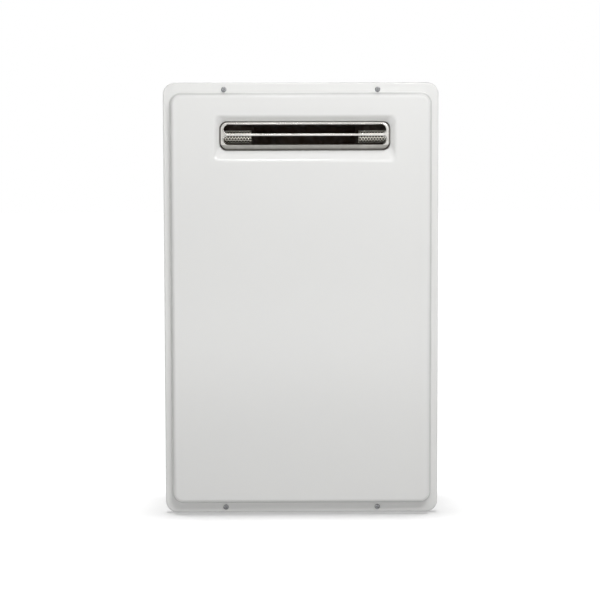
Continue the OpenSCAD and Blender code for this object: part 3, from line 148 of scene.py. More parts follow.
# crystal patches of a dipped skin with bent edges, and fine pits all over
def makeSpangle():
    tree, given, out = shaderGroup("spangle", {"Vector": origin, "Scale": 120.0}, maskAndHeight)
    bend = addNode(tree, "TexNoise", {"Scale": 60.0, "Detail": 2.0})
    shift = addNode(tree, "VectorMath", {"operation": "MULTIPLY_ADD", 1: (0.006, 0.006, 0.006)})   # metres
    cells = addNode(tree, "TexVoronoi", {"feature": "F1"})
    grey = addNode(tree, "RGBToBW")
    pits = addNode(tree, "TexNoise", {"Scale": 1800.0, "Detail": 2.0})
    blend = addNode(tree, "Math", {"operation": "MULTIPLY_ADD", 1: 0.35})   # share of the pits in the shade
    chain(tree, (given, "Vector", bend, "Vector"), (bend, "Color", shift, 0), (given, "Vector", shift, 2),
          (shift, 0, cells, "Vector"), (given, "Scale", cells, "Scale"), (cells, "Color", grey, 0),
          (given, "Vector", pits, "Vector"), (pits, "Fac", blend, 0), (grey, 0, blend, 2),
          (blend, 0, out, "Mask"), (pits, "Fac", out, "Height"))
    return tree


# moulded or cast texture: fine pebbles over a broad cloud
def makePebble():
    tree, given, out = shaderGroup("pebble", {"Vector": origin, "Scale": 1400.0}, maskAndHeight)
    bead = addNode(tree, "TexVoronoi", {"feature": "SMOOTH_F1", "Smoothness": 0.6})
    cloud = addNode(tree, "TexNoise", {"Scale": 28.0, "Detail": 4.0, "Roughness": 0.6})
    chain(tree, (given, "Vector", bead, "Vector"), (given, "Scale", bead, "Scale"),
          (bead, "Distance", out, "Height"), (given, "Vector", cloud, "Vector"), (cloud, "Fac", out, "Mask"))
    return tree


# dust lies on what faces up, broken by noise
def makeSettledDust():
    tree, given, out = shaderGroup("settledDust", {"Vector": origin, "Amount": 0.3}, {"Mask": "Float"})
    faces = addNode(tree, "NewGeometry")
    split = addNode(tree, "SeparateXYZ")
    up = addNode(tree, "MapRange", {"From Min": 0.35, "From Max": 1.0})
    cloud = addNode(tree, "TexNoise", {"Scale": 70.0, "Detail": 5.0, "Roughness": 0.7})
    broken = addNode(tree, "MapRange", {"From Min": 0.35, "From Max": 0.7})
    both = addNode(tree, "Math", {"operation": "MULTIPLY"})
    much = addNode(tree, "Math", {"operation": "MULTIPLY"})
    chain(tree, (faces, "Normal", split, 0), (split, "Z", up, "Value"), (given, "Vector", cloud, "Vector"),
          (cloud, "Fac", broken, "Value"), (up, 0, both, 0), (broken, 0, both, 1),
          (both, 0, much, 0), (given, "Amount", much, 1), (much, 0, out, "Mask"))
    return tree


# heat colours along an axis: bare metal, then straw, bronze and blue towards the fire
def makeHeatBloom():
    tree, given, out = shaderGroup(
        "heatBloom", {"Vector": origin, "Axis": (0.0, 0.0, 1.0), "Cool": 0.0, "Hot": 1.0},
        {"Color": "Color", "Mask": "Float"})
    along = addNode(tree, "VectorMath", {"operation": "DOT_PRODUCT"})
    cloud = addNode(tree, "TexNoise", {"Scale": 22.0, "Detail": 4.0, "Roughness": 0.6})
    drift = addNode(tree, "Math", {"operation": "MULTIPLY_ADD", 1: 0.05, 2: -0.025})   # metres, to and fro
    moved = addNode(tree, "Math", {"operation": "ADD"})
    level = addNode(tree, "MapRange")
    tint = addNode(tree, "ValToRGB")
    stops = tint.color_ramp.elements
    stops[0].color = (0.62, 0.52, 0.34, 1.0)          # straw
    stops[1].color = (0.20, 0.20, 0.30, 1.0)          # blue
    stops.new(0.55).color = (0.36, 0.20, 0.11, 1.0)   # bronze
    chain(tree, (given, "Vector", along, 0), (given, "Axis", along, 1), (given, "Vector", cloud, "Vector"),
          (cloud, "Fac", drift, 0), (along, "Value", moved, 0), (drift, 0, moved, 1),
          (moved, 0, level, "Value"), (given, "Cool", level, "From Min"), (given, "Hot", level, "From Max"),
          (level, 0, tint, 0), (tint, "Color", out, "Color"), (level, 0, out, "Mask"))
    return tree


# one inside a box in the piece's own space, fading across a soft edge to nothing; a faint cloud thins it. It
# places soot and also painted shade
def makeStainAndShade():
    tree, given, out = shaderGroup(
        "stainAndShade", {"Vector": origin, "Centre": origin, "Half": (0.1, 0.1, 0.1), "Soft": 0.001, "Amount": 1.0},
        {"Mask": "Float"})
    away = addNode(tree, "VectorMath", {"operation": "SUBTRACT"})
    size = addNode(tree, "VectorMath", {"operation": "ABSOLUTE"})
    past = addNode(tree, "VectorMath", {"operation": "SUBTRACT"})
    split = addNode(tree, "SeparateXYZ")
    wider = addNode(tree, "Math", {"operation": "MAXIMUM"})
    widest = addNode(tree, "Math", {"operation": "MAXIMUM"})
    depth = addNode(tree, "Math", {"operation": "DIVIDE"})
    edge = addNode(tree, "MapRange", {"From Min": 0.0, "From Max": -1.0})
    cloud = addNode(tree, "TexNoise", {"Scale": 90.0, "Detail": 5.0, "Roughness": 0.65})
    patchy = addNode(tree, "MapRange", {"From Min": 0.2, "From Max": 0.55, "To Min": 0.82})
    both = addNode(tree, "Math", {"operation": "MULTIPLY"})
    much = addNode(tree, "Math", {"operation": "MULTIPLY"})
    chain(tree, (given, "Vector", away, 0), (given, "Centre", away, 1), (away, 0, size, 0),
          (size, 0, past, 0), (given, "Half", past, 1), (past, 0, split, 0),
          (split, "X", wider, 0), (split, "Y", wider, 1), (wider, 0, widest, 0), (split, "Z", widest, 1),
          (widest, 0, depth, 0), (given, "Soft", depth, 1), (depth, 0, edge, "Value"),
          (given, "Vector", cloud, "Vector"), (cloud, "Fac", patchy, "Value"), (edge, 0, both, 0),
          (patchy, 0, both, 1), (both, 0, much, 0), (given, "Amount", much, 1), (much, 0, out, "Mask"))
    return tree


grains = {"streak": makeStreakGrain(), "powder": makePowderSkin(), "spangle": makeSpangle(),
          "pebble": makePebble()}
settledDust = makeSettledDust()
heatBloom = makeHeatBloom()
stainAndShadeGroup = makeStainAndShade()

bumpStrength = 0.5   # where a finish gives none of its own
stainMatt = 0.4      # roughness that a full stain adds
dustTone = (0.42, 0.40, 0.36, 1.0)
mixA, mixB, mixOut = 6, 7, 2   # colour sockets of a Mix node


# one finish: two shades and two gloss levels mixed by its grain, with heat, stains, painted shade and dust
# where given
def makeFinish(name, v):
    material = bpy.data.materials.new(name)
    material.use_nodes = True
    tree = material.node_tree
    shader = tree.nodes["Principled BSDF"]
    place = (addNode(tree, "TexCoord"), "Object")

    grain = addNode(tree, "Group", {"node_tree": grains[v["grain"]], "Scale": v["scale"]})
    if "stretch" in v:
        grain.inputs["Stretch"].default_value = v["stretch"]
    shade = addNode(tree, "Mix", {"data_type": "RGBA", mixA: (*v["shade"], 1.0), mixB: (*v["base"], 1.0)})
    gloss = addNode(tree, "MapRange", {"To Min": v["rough"][0], "To Max": v["rough"][1]})
    bump = addNode(tree, "Bump", {"Strength": v.get("strength", bumpStrength), "Distance": v["depth"] * mm})
    chain(tree, (*place, grain, "Vector"), (grain, "Mask", shade, 0), (grain, "Mask", gloss, "Value"),
          (grain, "Height", bump, "Height"), (bump, "Normal", shader, "Normal"))
    colour, rough = (shade, mixOut), (gloss, 0)

    if "heat" in v:
        axis, cool, hot, amount = v["heat"]
        heat = addNode(tree, "Group", {
            "node_tree": heatBloom, "Axis": axis, "Cool": cool * mm, "Hot": hot * mm})
        much = addNode(tree, "Math", {"operation": "MULTIPLY", 1: amount})
        warm = addNode(tree, "Mix", {"data_type": "RGBA"})
        chain(tree, (*place, heat, "Vector"), (heat, "Mask", much, 0), (much, 0, warm, 0),
              (*colour, warm, mixA), (heat, "Color", warm, mixB))
        colour = (warm, mixOut)
    for low, high, tone, amount, soft in v.get("stainsAndShade", []):
        stainAndShade = addNode(tree, "Group", {
            "node_tree": stainAndShadeGroup, "Centre": (low + high) / 2 * mm, "Half": (high - low) / 2 * mm,
            "Soft": soft * mm, "Amount": amount})
        # where a stain or painted shade lies, its tone takes over the colour
        stainedAndShaded = addNode(tree, "Mix", {"data_type": "RGBA", mixB: (*tone, 1.0)})
        matt = addNode(tree, "Math", {"operation": "MULTIPLY_ADD", 1: stainMatt})
        chain(tree, (*place, stainAndShade, "Vector"), (stainAndShade, "Mask", stainedAndShaded, 0), (*colour, stainedAndShaded, mixA),
              (stainAndShade, "Mask", matt, 0), (*rough, matt, 2))
        colour, rough = (stainedAndShaded, mixOut), (matt, 0)
    if "dust" in v:
        dust = addNode(tree, "Group", {"node_tree": settledDust, "Amount": v["dust"]})
        dull = addNode(tree, "Mix", {"data_type": "RGBA", mixB: dustTone})
        lift = addNode(tree, "Math", {"operation": "MAXIMUM"})
        chain(tree, (*place, dust, "Vector"), (dust, "Mask", dull, 0), (*colour, dull, mixA),
              (*rough, lift, 0), (dust, "Mask", lift, 1))
        colour, rough = (dull, mixOut), (lift, 0)
    chain(tree, (*colour, shader, "Base Color"), (*rough, shader, "Roughness"))
    for key, value in v.get("shader", {}).items():
        shader.inputs[key].default_value = value
    return material


# depth is the bump's, in millimetres; heat is an axis, the cool and hot places along it, and its strength
metal = {"Metallic": 1.0}
finishes = {
    "painted_casing": {"base": (0.79, 0.79, 0.775), "shade": (0.765, 0.765, 0.755), "rough": (0.20, 0.262),
                       "grain": "powder", "scale": 700.0, "depth": 0.05, "strength": 0.12},
    "stainless": {"base": (0.53, 0.52, 0.495), "shade": (0.40, 0.39, 0.37), "rough": (0.20, 0.34),
                  "grain": "streak", "stretch": (0.02, 1.0, 1.0), "scale": 1500.0, "depth": 0.02,
                  "shader": metal},
    "perforated_stainless": {"base": (0.74, 0.72, 0.65), "shade": (0.56, 0.54, 0.47), "rough": (0.22, 0.36),
                             "grain": "streak", "stretch": (0.05, 1.0, 1.0), "scale": 1200.0, "depth": 0.02,
                             "shader": metal},
    "zinc_steel": {"base": (0.60, 0.61, 0.62), "shade": (0.42, 0.43, 0.45), "rough": (0.26, 0.42),
                   "grain": "spangle", "scale": 260.0, "depth": 0.02, "dust": 0.25, "shader": metal},
    "aluminised_sheet": {"base": (0.60, 0.61, 0.61), "shade": (0.44, 0.45, 0.46), "rough": (0.34, 0.52),
                         "grain": "spangle", "scale": 150.0, "depth": 0.03, "dust": 0.4,
                         "heat": ((0.0, 0.0, 1.0), 262.0, 380.0, 0.25), "shader": metal},
    "copper": {"base": (0.80, 0.42, 0.26), "shade": (0.50, 0.235, 0.13), "rough": (0.42, 0.22),
               "grain": "pebble", "scale": 420.0, "depth": 0.03, "dust": 0.2, "shader": metal},
    "brass": {"base": (0.70, 0.50, 0.21), "shade": (0.52, 0.36, 0.15), "rough": (0.24, 0.42),
              "grain": "pebble", "scale": 900.0, "depth": 0.03, "dust": 0.2, "shader": metal},
    "cast_aluminium": {"base": (0.62, 0.63, 0.64), "shade": (0.46, 0.47, 0.48), "rough": (0.40, 0.56),
                       "grain": "pebble", "scale": 700.0, "depth": 0.09, "dust": 0.35, "shader": metal},
    "gasket_foam": {"base": (0.055, 0.055, 0.056), "shade": (0.03, 0.03, 0.03), "rough": (0.82, 0.95),
                    "grain": "pebble", "scale": 1100.0, "depth": 0.3},
    "black_plastic": {"base": (0.030, 0.030, 0.033), "shade": (0.020, 0.020, 0.022), "rough": (0.38, 0.52),
                      "grain": "pebble", "scale": 1500.0, "depth": 0.04, "dust": 0.3},
    "grey_plastic": {"base": (0.24, 0.25, 0.26), "shade": (0.20, 0.205, 0.21), "rough": (0.42, 0.56),
                     "grain": "pebble", "scale": 1300.0, "depth": 0.05, "dust": 0.3},
    "white_plastic": {"base": (0.76, 0.75, 0.71), "shade": (0.68, 0.67, 0.62), "rough": (0.34, 0.48),
                      "grain": "pebble", "scale": 1500.0, "depth": 0.03,
                      "shader": {"Subsurface Weight": 0.05}},
    "ceramic": {"base": (0.80, 0.77, 0.69), "shade": (0.72, 0.68, 0.58), "rough": (0.10, 0.22),
                "grain": "pebble", "scale": 500.0, "depth": 0.02,
                "heat": ((0.0, 1.0, 0.0), -40.0, -10.0, 0.6), "shader": {"Coat Weight": 0.4}},
    "window_glass": {"base": (0.86, 0.91, 0.90), "shade": (0.80, 0.86, 0.86), "rough": (0.02, 0.07),
                     "grain": "powder", "scale": 120.0, "depth": 0.02,
                     "shader": {"Transmission Weight": 0.9, "IOR": 1.47}},
    "board_green": {"base": (0.018, 0.105, 0.045), "shade": (0.010, 0.070, 0.030), "rough": (0.22, 0.36),
                    "grain": "pebble", "scale": 420.0, "depth": 0.04, "shader": {"Coat Weight": 0.5}},
    "lead_red": {"base": (0.46, 0.045, 0.022), "shade": (0.33, 0.03, 0.018), "rough": (0.46, 0.60),
                 "grain": "pebble", "scale": 900.0, "depth": 0.03},
    "lead_grey": {"base": (0.10, 0.10, 0.105), "shade": (0.06, 0.06, 0.065), "rough": (0.48, 0.62),
                  "grain": "pebble", "scale": 1100.0, "depth": 0.06},
    "coil_blue": {"base": (0.035, 0.075, 0.21), "shade": (0.025, 0.055, 0.16), "rough": (0.32, 0.46),
                  "grain": "pebble", "scale": 1200.0, "depth": 0.04, "dust": 0.25},
}
made = {name: makeFinish(name + "Finish", v) for name, v in finishes.items()}
made["screwZinc"] = makeFinish("screwZinc", {
    "base": (0.30, 0.305, 0.31), "shade": (0.17, 0.175, 0.18), "rough": (0.20, 0.36), "grain": "spangle",
    "scale": 900.0, "depth": 0.02, "shader": metal})
made["hotCopper"] = makeFinish("hotCopper", {
    **finishes["copper"], "heat": ((0.0, 0.0, -1.0), -500.0, -336.0, 0.55)})


# lowest and highest corner of a CAD node, in millimetres
def nodeBox(node):
    low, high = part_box(node)
    return np.array(low) / mm, np.array(high) / mm


terminalLow, terminalHigh = nodeBox("flue_terminal")
hoodLow, hoodHigh = nodeBox("exhaust_hood")
sootAndShadeSet = {   # tones, soft edges, and margins from the boxes of the terminal and the hood
    "soot": (0.05, 0.038, 0.03), "flueLow": (0.6, 0.75, 9.6), "flueHigh": (-0.6, 1.0, -9.6), "flueSoft": 0.25,
    # painted shade: the dull tone darkens a band over the terminal's lower rim, where its rounded underside
    # turns from the light
    "dull": (0.215, 0.21, 0.195), "rimShadeOut": 9.0, "rimShadeTop": 17.6, "rimShadeSoft": 1.5, "rimShadeAmount": 0.95,
    "guardLow": (0.0, 10.0, 0.0), "guardSoft": 2.5,
    "hood": (0.24, 0.185, 0.145), "hoodLow": (10.6, 10.6, -5.0), "hoodHigh": (-10.6, -10.6, -0.6),
    "hoodSoft": 0.4,
}


# painted shade darkening the terminal's lower rim, and soot inside the terminal, on the guards' far sides and
# inside the hood
def makeSootAndShade(v):
    rimShadeHigh = np.array([terminalHigh[0] + v["rimShadeOut"], terminalHigh[1], terminalLow[2] + v["rimShadeTop"]])
    stainsAndShade = {
        "flueSteel": ("stainless", [
            # painted shade on the lower rim, then soot inside the terminal
            (terminalLow - v["rimShadeOut"], rimShadeHigh, v["dull"], v["rimShadeAmount"], v["rimShadeSoft"]),
            (terminalLow + v["flueLow"], terminalHigh + v["flueHigh"], v["soot"], 1.0, v["flueSoft"])]),
        "guardSteel": ("perforated_stainless", [
            (terminalLow + v["guardLow"], terminalHigh, v["soot"], 1.0, v["guardSoft"])]),
        "sootySheet": ("aluminised_sheet", [
            (hoodLow + v["hoodLow"], hoodHigh + v["hoodHigh"], v["hood"], 1.0, v["hoodSoft"])]),
    }
    for name, (base, marks) in stainsAndShade.items():
        made[name] = makeFinish(name, {**finishes[base], "stainsAndShade": marks})


makeSootAndShade(sootAndShadeSet)
print("finishes made:", len(made))


# Every CAD node takes its slot's finish or one of its own; small bevels catch the light on its edges

slotOf = {s["node"]: s["material_slot"] for s in frame["record"]["subparts"]}
ownFinish = {"exchanger_shell": "hotCopper", "chamber_coil": "hotCopper", "exchanger_core": "hotCopper",
             "exhaust_hood": "sootySheet", "stack_screws": "screwZinc", "fitting_screws": "screwZinc"}
bevelSet = {
    "weld": 0.01, "segments": 2, "angle": 40.0,
    "widths": {"rear_case": 0.45, "upper_wall_bracket": 0.3, "lower_wall_bracket": 0.3, "gas_valve_body": 1.2,
               "servo_valve_body": 1.2, "servo_motor": 1.0, "igniter_box": 1.4, "control_tray": 0.8,
               "gas_manifold": 0.9, "inlet_filter_plug": 0.5, "hot_drain_plug": 0.5, "pipe_unions": 0.6,
               "flow_sensor_body": 0.7, "solenoid_coils": 1.2, "fan_motor": 1.0, "power_gland": 0.5,
               "remote_gland": 0.5, "exhaust_hood": 0.5, "fan_housing": 0.4, "limit_switch": 0.25},
}


def dressNodes(v):
    for node, obj in frame["nodes"].items():
        obj.material_slots[0].material = made[ownFinish.get(node, slotOf[node])]
        if node in v["widths"]:
            weld = obj.modifiers.new("weld", "WELD")
            weld.merge_threshold = v["weld"] * mm
            bevel = obj.modifiers.new("edge", "BEVEL")
            bevel.width = v["widths"][node] * mm
            bevel.segments = v["segments"]
            bevel.limit_method = "ANGLE"
            bevel.angle_limit = math.radians(v["angle"])
            bevel.harden_normals = True


dressNodes(bevelSet)
print("nodes dressed:", len(slotOf))


# Surface helpers, in millimetres

# a grid of points [row, column] and its faces: each row is a closed loop, and closed rows join last to first
def gridSurface(points, closedRows=False):
    rows, cols = points.shape[:2]
    i = np.arange(rows if closedRows else rows - 1)[:, None]
    j = np.arange(cols)[None, :]
    a, b = i * cols + j, i * cols + (j + 1) % cols
    c, d = ((i + 1) % rows) * cols + (j + 1) % cols, ((i + 1) % rows) * cols + j
    return points.reshape(-1, 3), np.stack([a, b, c, d], -1).reshape(-1, 4)


# several surfaces as one: each one's faces count on from the points before it
def joinSurfaces(surfaces):
    starts = np.cumsum([0] + [len(points) for points, _ in surfaces[:-1]])
    return (np.concatenate([points for points, _ in surfaces]),
            np.concatenate([faces + start for (_, faces), start in zip(surfaces, starts)]))


meshSet = {"merge": 1e-6, "sliver": 1e-7}   # metres


# closed shapes turn their faces outwards; a sheet keeps its own and grows inwards
def addPiece(name, surface, body, finish, nodes=(), sheet=None, even=False, sharp=None):
    points, faces = surface
    mesh = bpy.data.meshes.new(name)
    mesh.from_pydata((points * mm).tolist(), [], faces.tolist())
    shape = bmesh.new()
    shape.from_mesh(mesh)
    bmesh.ops.remove_doubles(shape, verts=shape.verts, dist=meshSet["merge"])
    bmesh.ops.dissolve_degenerate(shape, dist=meshSet["sliver"], edges=shape.edges)
    if not sheet:
        bmesh.ops.recalc_face_normals(shape, faces=shape.faces)
    shape.to_mesh(mesh)
    shape.free()
    mesh.polygons.foreach_set("use_smooth", np.ones(len(mesh.polygons), bool))
    if sharp:
        mesh.set_sharp_from_angle(angle=math.radians(sharp))
    mesh.materials.append(made[finish])
    piece = bpy.data.objects.new(name, mesh)
    scene.collection.objects.link(piece)
    if sheet:
        thick = piece.modifiers.new("sheet", "SOLIDIFY")
        thick.thickness = sheet * mm
        thick.offset = -1.0
        thick.use_even_offset = even
    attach(piece, body)
    if nodes:
        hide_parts(*nodes)
    return piece


# angles of a full turn, in equal steps
def turnAngles(steps):
    return np.linspace(0, 2 * math.pi, steps, endpoint=False)


# circle arc: centre + radius (cos a, sin a), from start to end in degrees
def arcPoints(centre, radius, start, end, steps):
    a = np.radians(np.linspace(start, end, steps + 1))
    return np.stack([centre[0] + radius * np.cos(a), centre[1] + radius * np.sin(a)], -1)


# quadratic curve through a corner: p(t) = (1-t)^2 a + 2t(1-t) b + t^2 c
def roundCorner(a, b, c, steps):
    t = np.linspace(0, 1, steps + 1)[:, None]
    return (1 - t) ** 2 * np.array(a) + 2 * t * (1 - t) * np.array(b) + t ** 2 * np.array(c)


# rounded rectangle seen from the front, anticlockwise: four arcs about the corner centres
def roundedLoop(halfW, halfH, radius, arcSteps):
    turn = np.radians(np.linspace(0, 90, arcSteps + 1))
    angles = np.concatenate([turn + q * math.pi / 2 for q in range(4)])
    side = np.repeat([[1, 1], [-1, 1], [-1, -1], [1, -1]], arcSteps + 1, axis=0)
    return np.stack([side[:, 0] * (halfW - radius) + radius * np.cos(angles),
                     side[:, 1] * (halfH - radius) + radius * np.sin(angles)], -1)


# loops (halfW, halfH, radius, depth, centreX, centreZ), each at one depth, stacked into a grid of points
def loopStack(loops, arcSteps):
    flat = np.stack([roundedLoop(w, h, r, arcSteps) + (x, z) for w, h, r, _, x, z in loops])
    depth = np.broadcast_to(np.array([loop[3] for loop in loops])[:, None], flat.shape[:2])
    return np.stack([flat[..., 0], depth, flat[..., 1]], -1)


# a profile (radius, height) turned about an upright axis at (x, y): radius (cos a, sin a)
def turned(profile, x, y, steps):
    a = turnAngles(steps)
    r, z = np.array(profile, float).T
    height = np.broadcast_to(z[:, None], (len(r), steps))
    return np.stack([x + r[:, None] * np.cos(a), y + r[:, None] * np.sin(a), height], -1)


# Front cover

coverLow, coverHigh = nodeBox("front_cover")
middleZ = (coverLow[2] + coverHigh[2]) / 2
flueX = (terminalLow[0] + terminalHigh[0]) / 2
flueZ = (terminalLow[2] + terminalHigh[2]) / 2

coverSet = {
    "rise": 18.0, "lip": 9.0, "lipBend": 2.5, "corner": 18.0,   # flange, its turned lip and its corners
    "flangeSide": 10.0, "flangeEnd": 15.0, "panCorner": 17.0,   # foot of the raised pan
    "run": 4.5, "crown": 5.0, "foot": 1.3,                      # pan wall, its rounded edge and its foot
    "flat": 0.5, "panFlat": 0.8,                                # level strips beside the bends
    "pocketW": 271.0, "pocketH": 66.8, "pocketDrop": 3.8, "pocketCorner": 8.0, "pocketDepth": 7.5,
    "pocketRim": (-0.42, -0.34, 0.26), "pocketFoot": (0.86, 1.03),   # its bends, in shares of its wall's run
    "floorW": 256.6, "floorH": 44.8, "floorCorner": 11.0,       # pocket floor
    "gap": 0.8, "floorEdge": 0.5,                               # round the terminal, and level floor above it
    "sheet": 0.95, "arcSteps": 14,
}


# loops from the lip's edge over the flange, up the pan's wall, across the pan and down into the flue pocket:
# arcs for the lip and the crown, quadratic curves for the pan's foot and both bends of the pocket
def coverLoops(v):
    halfW, halfH = (coverHigh[0] - coverLow[0]) / 2, (coverHigh[2] - coverLow[2]) / 2
    front = coverLow[1]
    flange = front + v["rise"]

    def casingLoop(inset, depth):
        return (halfW - inset, halfH - inset, v["corner"] - inset, depth, 0.0, middleZ)

    def panLoop(reach, rise):   # reach: distance out from the corner centres
        out = reach - v["panCorner"]
        wide, tall = halfW - v["flangeSide"] + out, halfH - v["flangeEnd"] + out
        return (wide, tall, reach, flange - rise, 0.0, middleZ)

    bend = v["lipBend"]
    lipCurve = arcPoints((bend, flange + bend), bend, 180, 270, 8)
    loops = [casingLoop(0.0, flange + v["lip"]), casingLoop(0.0, flange + bend + v["flat"])]
    loops += [casingLoop(inset, depth) for inset, depth in lipCurve]
    loops.append(casingLoop(bend + v["flat"], flange))

    foot, lean = v["panCorner"], math.atan2(v["run"], v["rise"])
    loops.append(panLoop(foot + v["foot"] + v["flat"], 0.0))
    onWall = (foot - v["run"] * v["foot"] / v["rise"], v["foot"])
    footCurve = roundCorner((foot + v["foot"], 0.0), (foot, 0.0), onWall, 6)
    slant = math.hypot(v["rise"], v["run"])
    centre = foot - (v["crown"] * slant + v["run"] * (v["rise"] - v["crown"])) / v["rise"]
    crownCurve = arcPoints((centre, v["rise"] - v["crown"]), v["crown"], math.degrees(lean), 90, 12)
    loops += [panLoop(reach, rise) for reach, rise in np.concatenate([footCurve, crownCurve])]
    loops.append(panLoop(centre - v["panFlat"], v["rise"]))

    rimZ = flueZ - v["pocketDrop"]
    rim = np.array([v["pocketW"] / 2, v["pocketH"] / 2, v["pocketCorner"], front, flueX, rimZ])
    floor = np.array([v["floorW"] / 2, v["floorH"] / 2, v["floorCorner"], front, flueX, flueZ])
    deep = v["pocketDepth"]
    level, rimStart, rimEnd = v["pocketRim"]
    footStart, footEnd = v["pocketFoot"]
    path = np.concatenate([
        [(level, 0.0)], roundCorner((rimStart, 0.0), (0.0, 0.0), (rimEnd, rimEnd * deep), 10),
        roundCorner((footStart, footStart * deep), (1.0, deep), (footEnd, deep), 6)])
    for share, depth in path:
        loops.append(tuple(rim + share * (floor - rim) + [0, 0, 0, depth, 0, 0]))
    edge = floor + [0.0, 0.0, v["gap"], deep, 0.0, 0.0]
    edge[:2] = [(terminalHigh[0] - terminalLow[0]) / 2 + v["gap"], v["floorH"] / 2 - v["floorEdge"]]
    loops.append(tuple(edge))
    return loops


coverSurface = gridSurface(loopStack(coverLoops(coverSet), coverSet["arcSteps"]))
addPiece("frontCover", coverSurface, "cover", "painted_casing", ["front_cover"],
         coverSet["sheet"], even=True)
print("front cover made")


# Cover screws: a domed head with a cross recess, and a shank with a helical thread

screwLow, screwHigh = nodeBox("cover_screws")
screwSet = {
    "head": 4.0, "height": 2.6, "brim": 0.42, "dome": 2.6,   # brim: share of the height at the head's edge
    "spread": 1.12, "side": 0.9,                             # where on the profile the rim and its side begin
    "arm": 0.55, "armSoft": 0.12, "reach": 2.3, "reachSoft": 0.2, "recess": 1.5, "recessSlope": 0.75,
    "shank": 2.0, "pitch": 0.7, "thread": 0.3, "point": 0.12, "clear": 0.1,
    "turns": (20.0, 52.0, 75.0, 8.0),                        # degrees that each one is turned in
}


# head height falls off as a round-edged dome; the cross is cut by two smooth bands
def screwHead(v, rings=26, around=96):
    share = np.linspace(0, 1, rings)
    a = turnAngles(around)
    rho = (v["head"] * np.sin(np.minimum(share * v["spread"], 1.0) * math.pi / 2))[:, None]
    fall = np.sqrt(np.maximum(0.0, 1 - (rho / v["head"]) ** v["dome"]))
    dome = v["height"] * (v["brim"] + (1 - v["brim"]) * fall)
    share = share[:, None]
    dome = np.where(share > v["side"], dome * np.clip((1 - share) / (1 - v["side"]), 0, 1), dome)
    u, w = rho * np.cos(a), rho * np.sin(a)
    band = np.clip((v["arm"] + v["armSoft"] - np.minimum(abs(u), abs(w))) / (2 * v["armSoft"]), 0, 1)
    end = np.clip((v["reach"] + v["reachSoft"] - rho) / (2 * v["reachSoft"]), 0, 1)
    cut = v["recess"] * (1 - v["recessSlope"] * rho / v["reach"]).clip(0.1) * band * end
    return np.stack([u, -(dome - cut), w], -1)


# shank radius = plain radius less a ramp wave of (length / pitch + angle / turn), tapering to a point
def screwShank(v, length, around=24, rows=60):
    s = np.linspace(0, 1, rows)[:, None]
    a = turnAngles(around)[None, :]
    wave = abs(((s * length / v["pitch"] + a / (2 * math.pi)) % 1.0) * 2 - 1)
    r = (v["shank"] - v["thread"] * wave) * np.clip((1 - s) / v["point"], 0.02, 1)
    return np.stack([r * np.cos(a), s * length + 0 * a, r * np.sin(a)], -1)


# one head and shank, turned about its axis and set at each corner of the node's box
def coverScrews(v):
    places = [(x, z) for x in (screwLow[0] + v["head"], screwHigh[0] - v["head"])
              for z in (screwLow[2] + v["head"], screwHigh[2] - v["head"])]
    seat = screwLow[1] + v["height"]
    one = joinSurfaces([gridSurface(screwHead(v)),
                        gridSurface(screwShank(v, screwHigh[1] - seat - v["clear"]))])
    screws = []
    for (x, z), turn in zip(places, np.radians(v["turns"])):
        c, s = math.cos(turn), math.sin(turn)
        spun = one[0] @ np.array([[c, 0, s], [0, 1, 0], [-s, 0, c]])
        screws.append((spun + (x, seat, z), one[1]))
    return joinSurfaces(screws)


addPiece("coverScrews", coverScrews(screwSet), "cover", "screwZinc", ["cover_screws"], sharp=50)
print("cover screws made")


# Flue terminal: a bullnosed box of thin sheet whose front is split at the bar between two rolled slots

terminalSet = {
    "height": 42.2, "corner": 11.0, "bullnose": 4.0, "noseFlat": 0.6, "sheet": 0.9,
    "slotW": 241.5, "slotH": 12.8, "bar": 3.8, "rise": 1.4,   # rise: the bar above the middle
    "roll": 1.3, "rollEnd": 0.7, "faceSteps": (0.0, 0.5, 0.88),
    "outletW": 153.5, "outletH": 29.4, "outletCorner": 1.5, "rearBend": 1.2, "rearFlat": 2.0,
    "flange": 60.2, "flangeW": 216.0, "tabUnder": 4.0, "tabCorner": 4.0, "tabSheet": 1.2, "tabEdge": 0.3,
}
sideSteps, arcCount, topSteps = 4, 12, 16   # points up a side, round a corner and along the top


# half of a top edge, from its right end to the middle
def topHalf(halfW, height):
    count = topSteps // 2 + 1
    return np.stack([np.linspace(halfW, 0, count), np.full(count, height)], -1)


# the right half and its mirror, without the middle point twice
def bothHalves(right):
    return np.concatenate([right, right[-2::-1] * (-1, 1)])


# half a rounded rectangle over a base line: up one side, round the corner, along the top and down again
def halfLoop(halfW, reach, radius):
    up = np.linspace(0, reach - radius, sideSteps, endpoint=False)
    right = np.stack([np.full(sideSteps, halfW), up], -1)
    corner = arcPoints((halfW - radius, reach - radius), radius, 0, 90, arcCount)[:-1]
    return bothHalves(np.concatenate([right, corner, topHalf(halfW - radius, reach)]))


# points of a base line between its two ends
def baseLine(left, right, height):
    return np.stack([np.linspace(left, right, topSteps + 1)[1:-1], np.full(topSteps - 1, height)], -1)


# stadium with the same count of points as a half loop and its base line
def slotLoop(halfW, radius, centre):
    flat = halfW - radius
    right = arcPoints((flat, centre), radius, -90, 90, sideSteps + arcCount)[:-1]
    upper = bothHalves(np.concatenate([right, topHalf(flat, centre + radius)]))
    return np.concatenate([upper, baseLine(-flat, flat, centre - radius)])


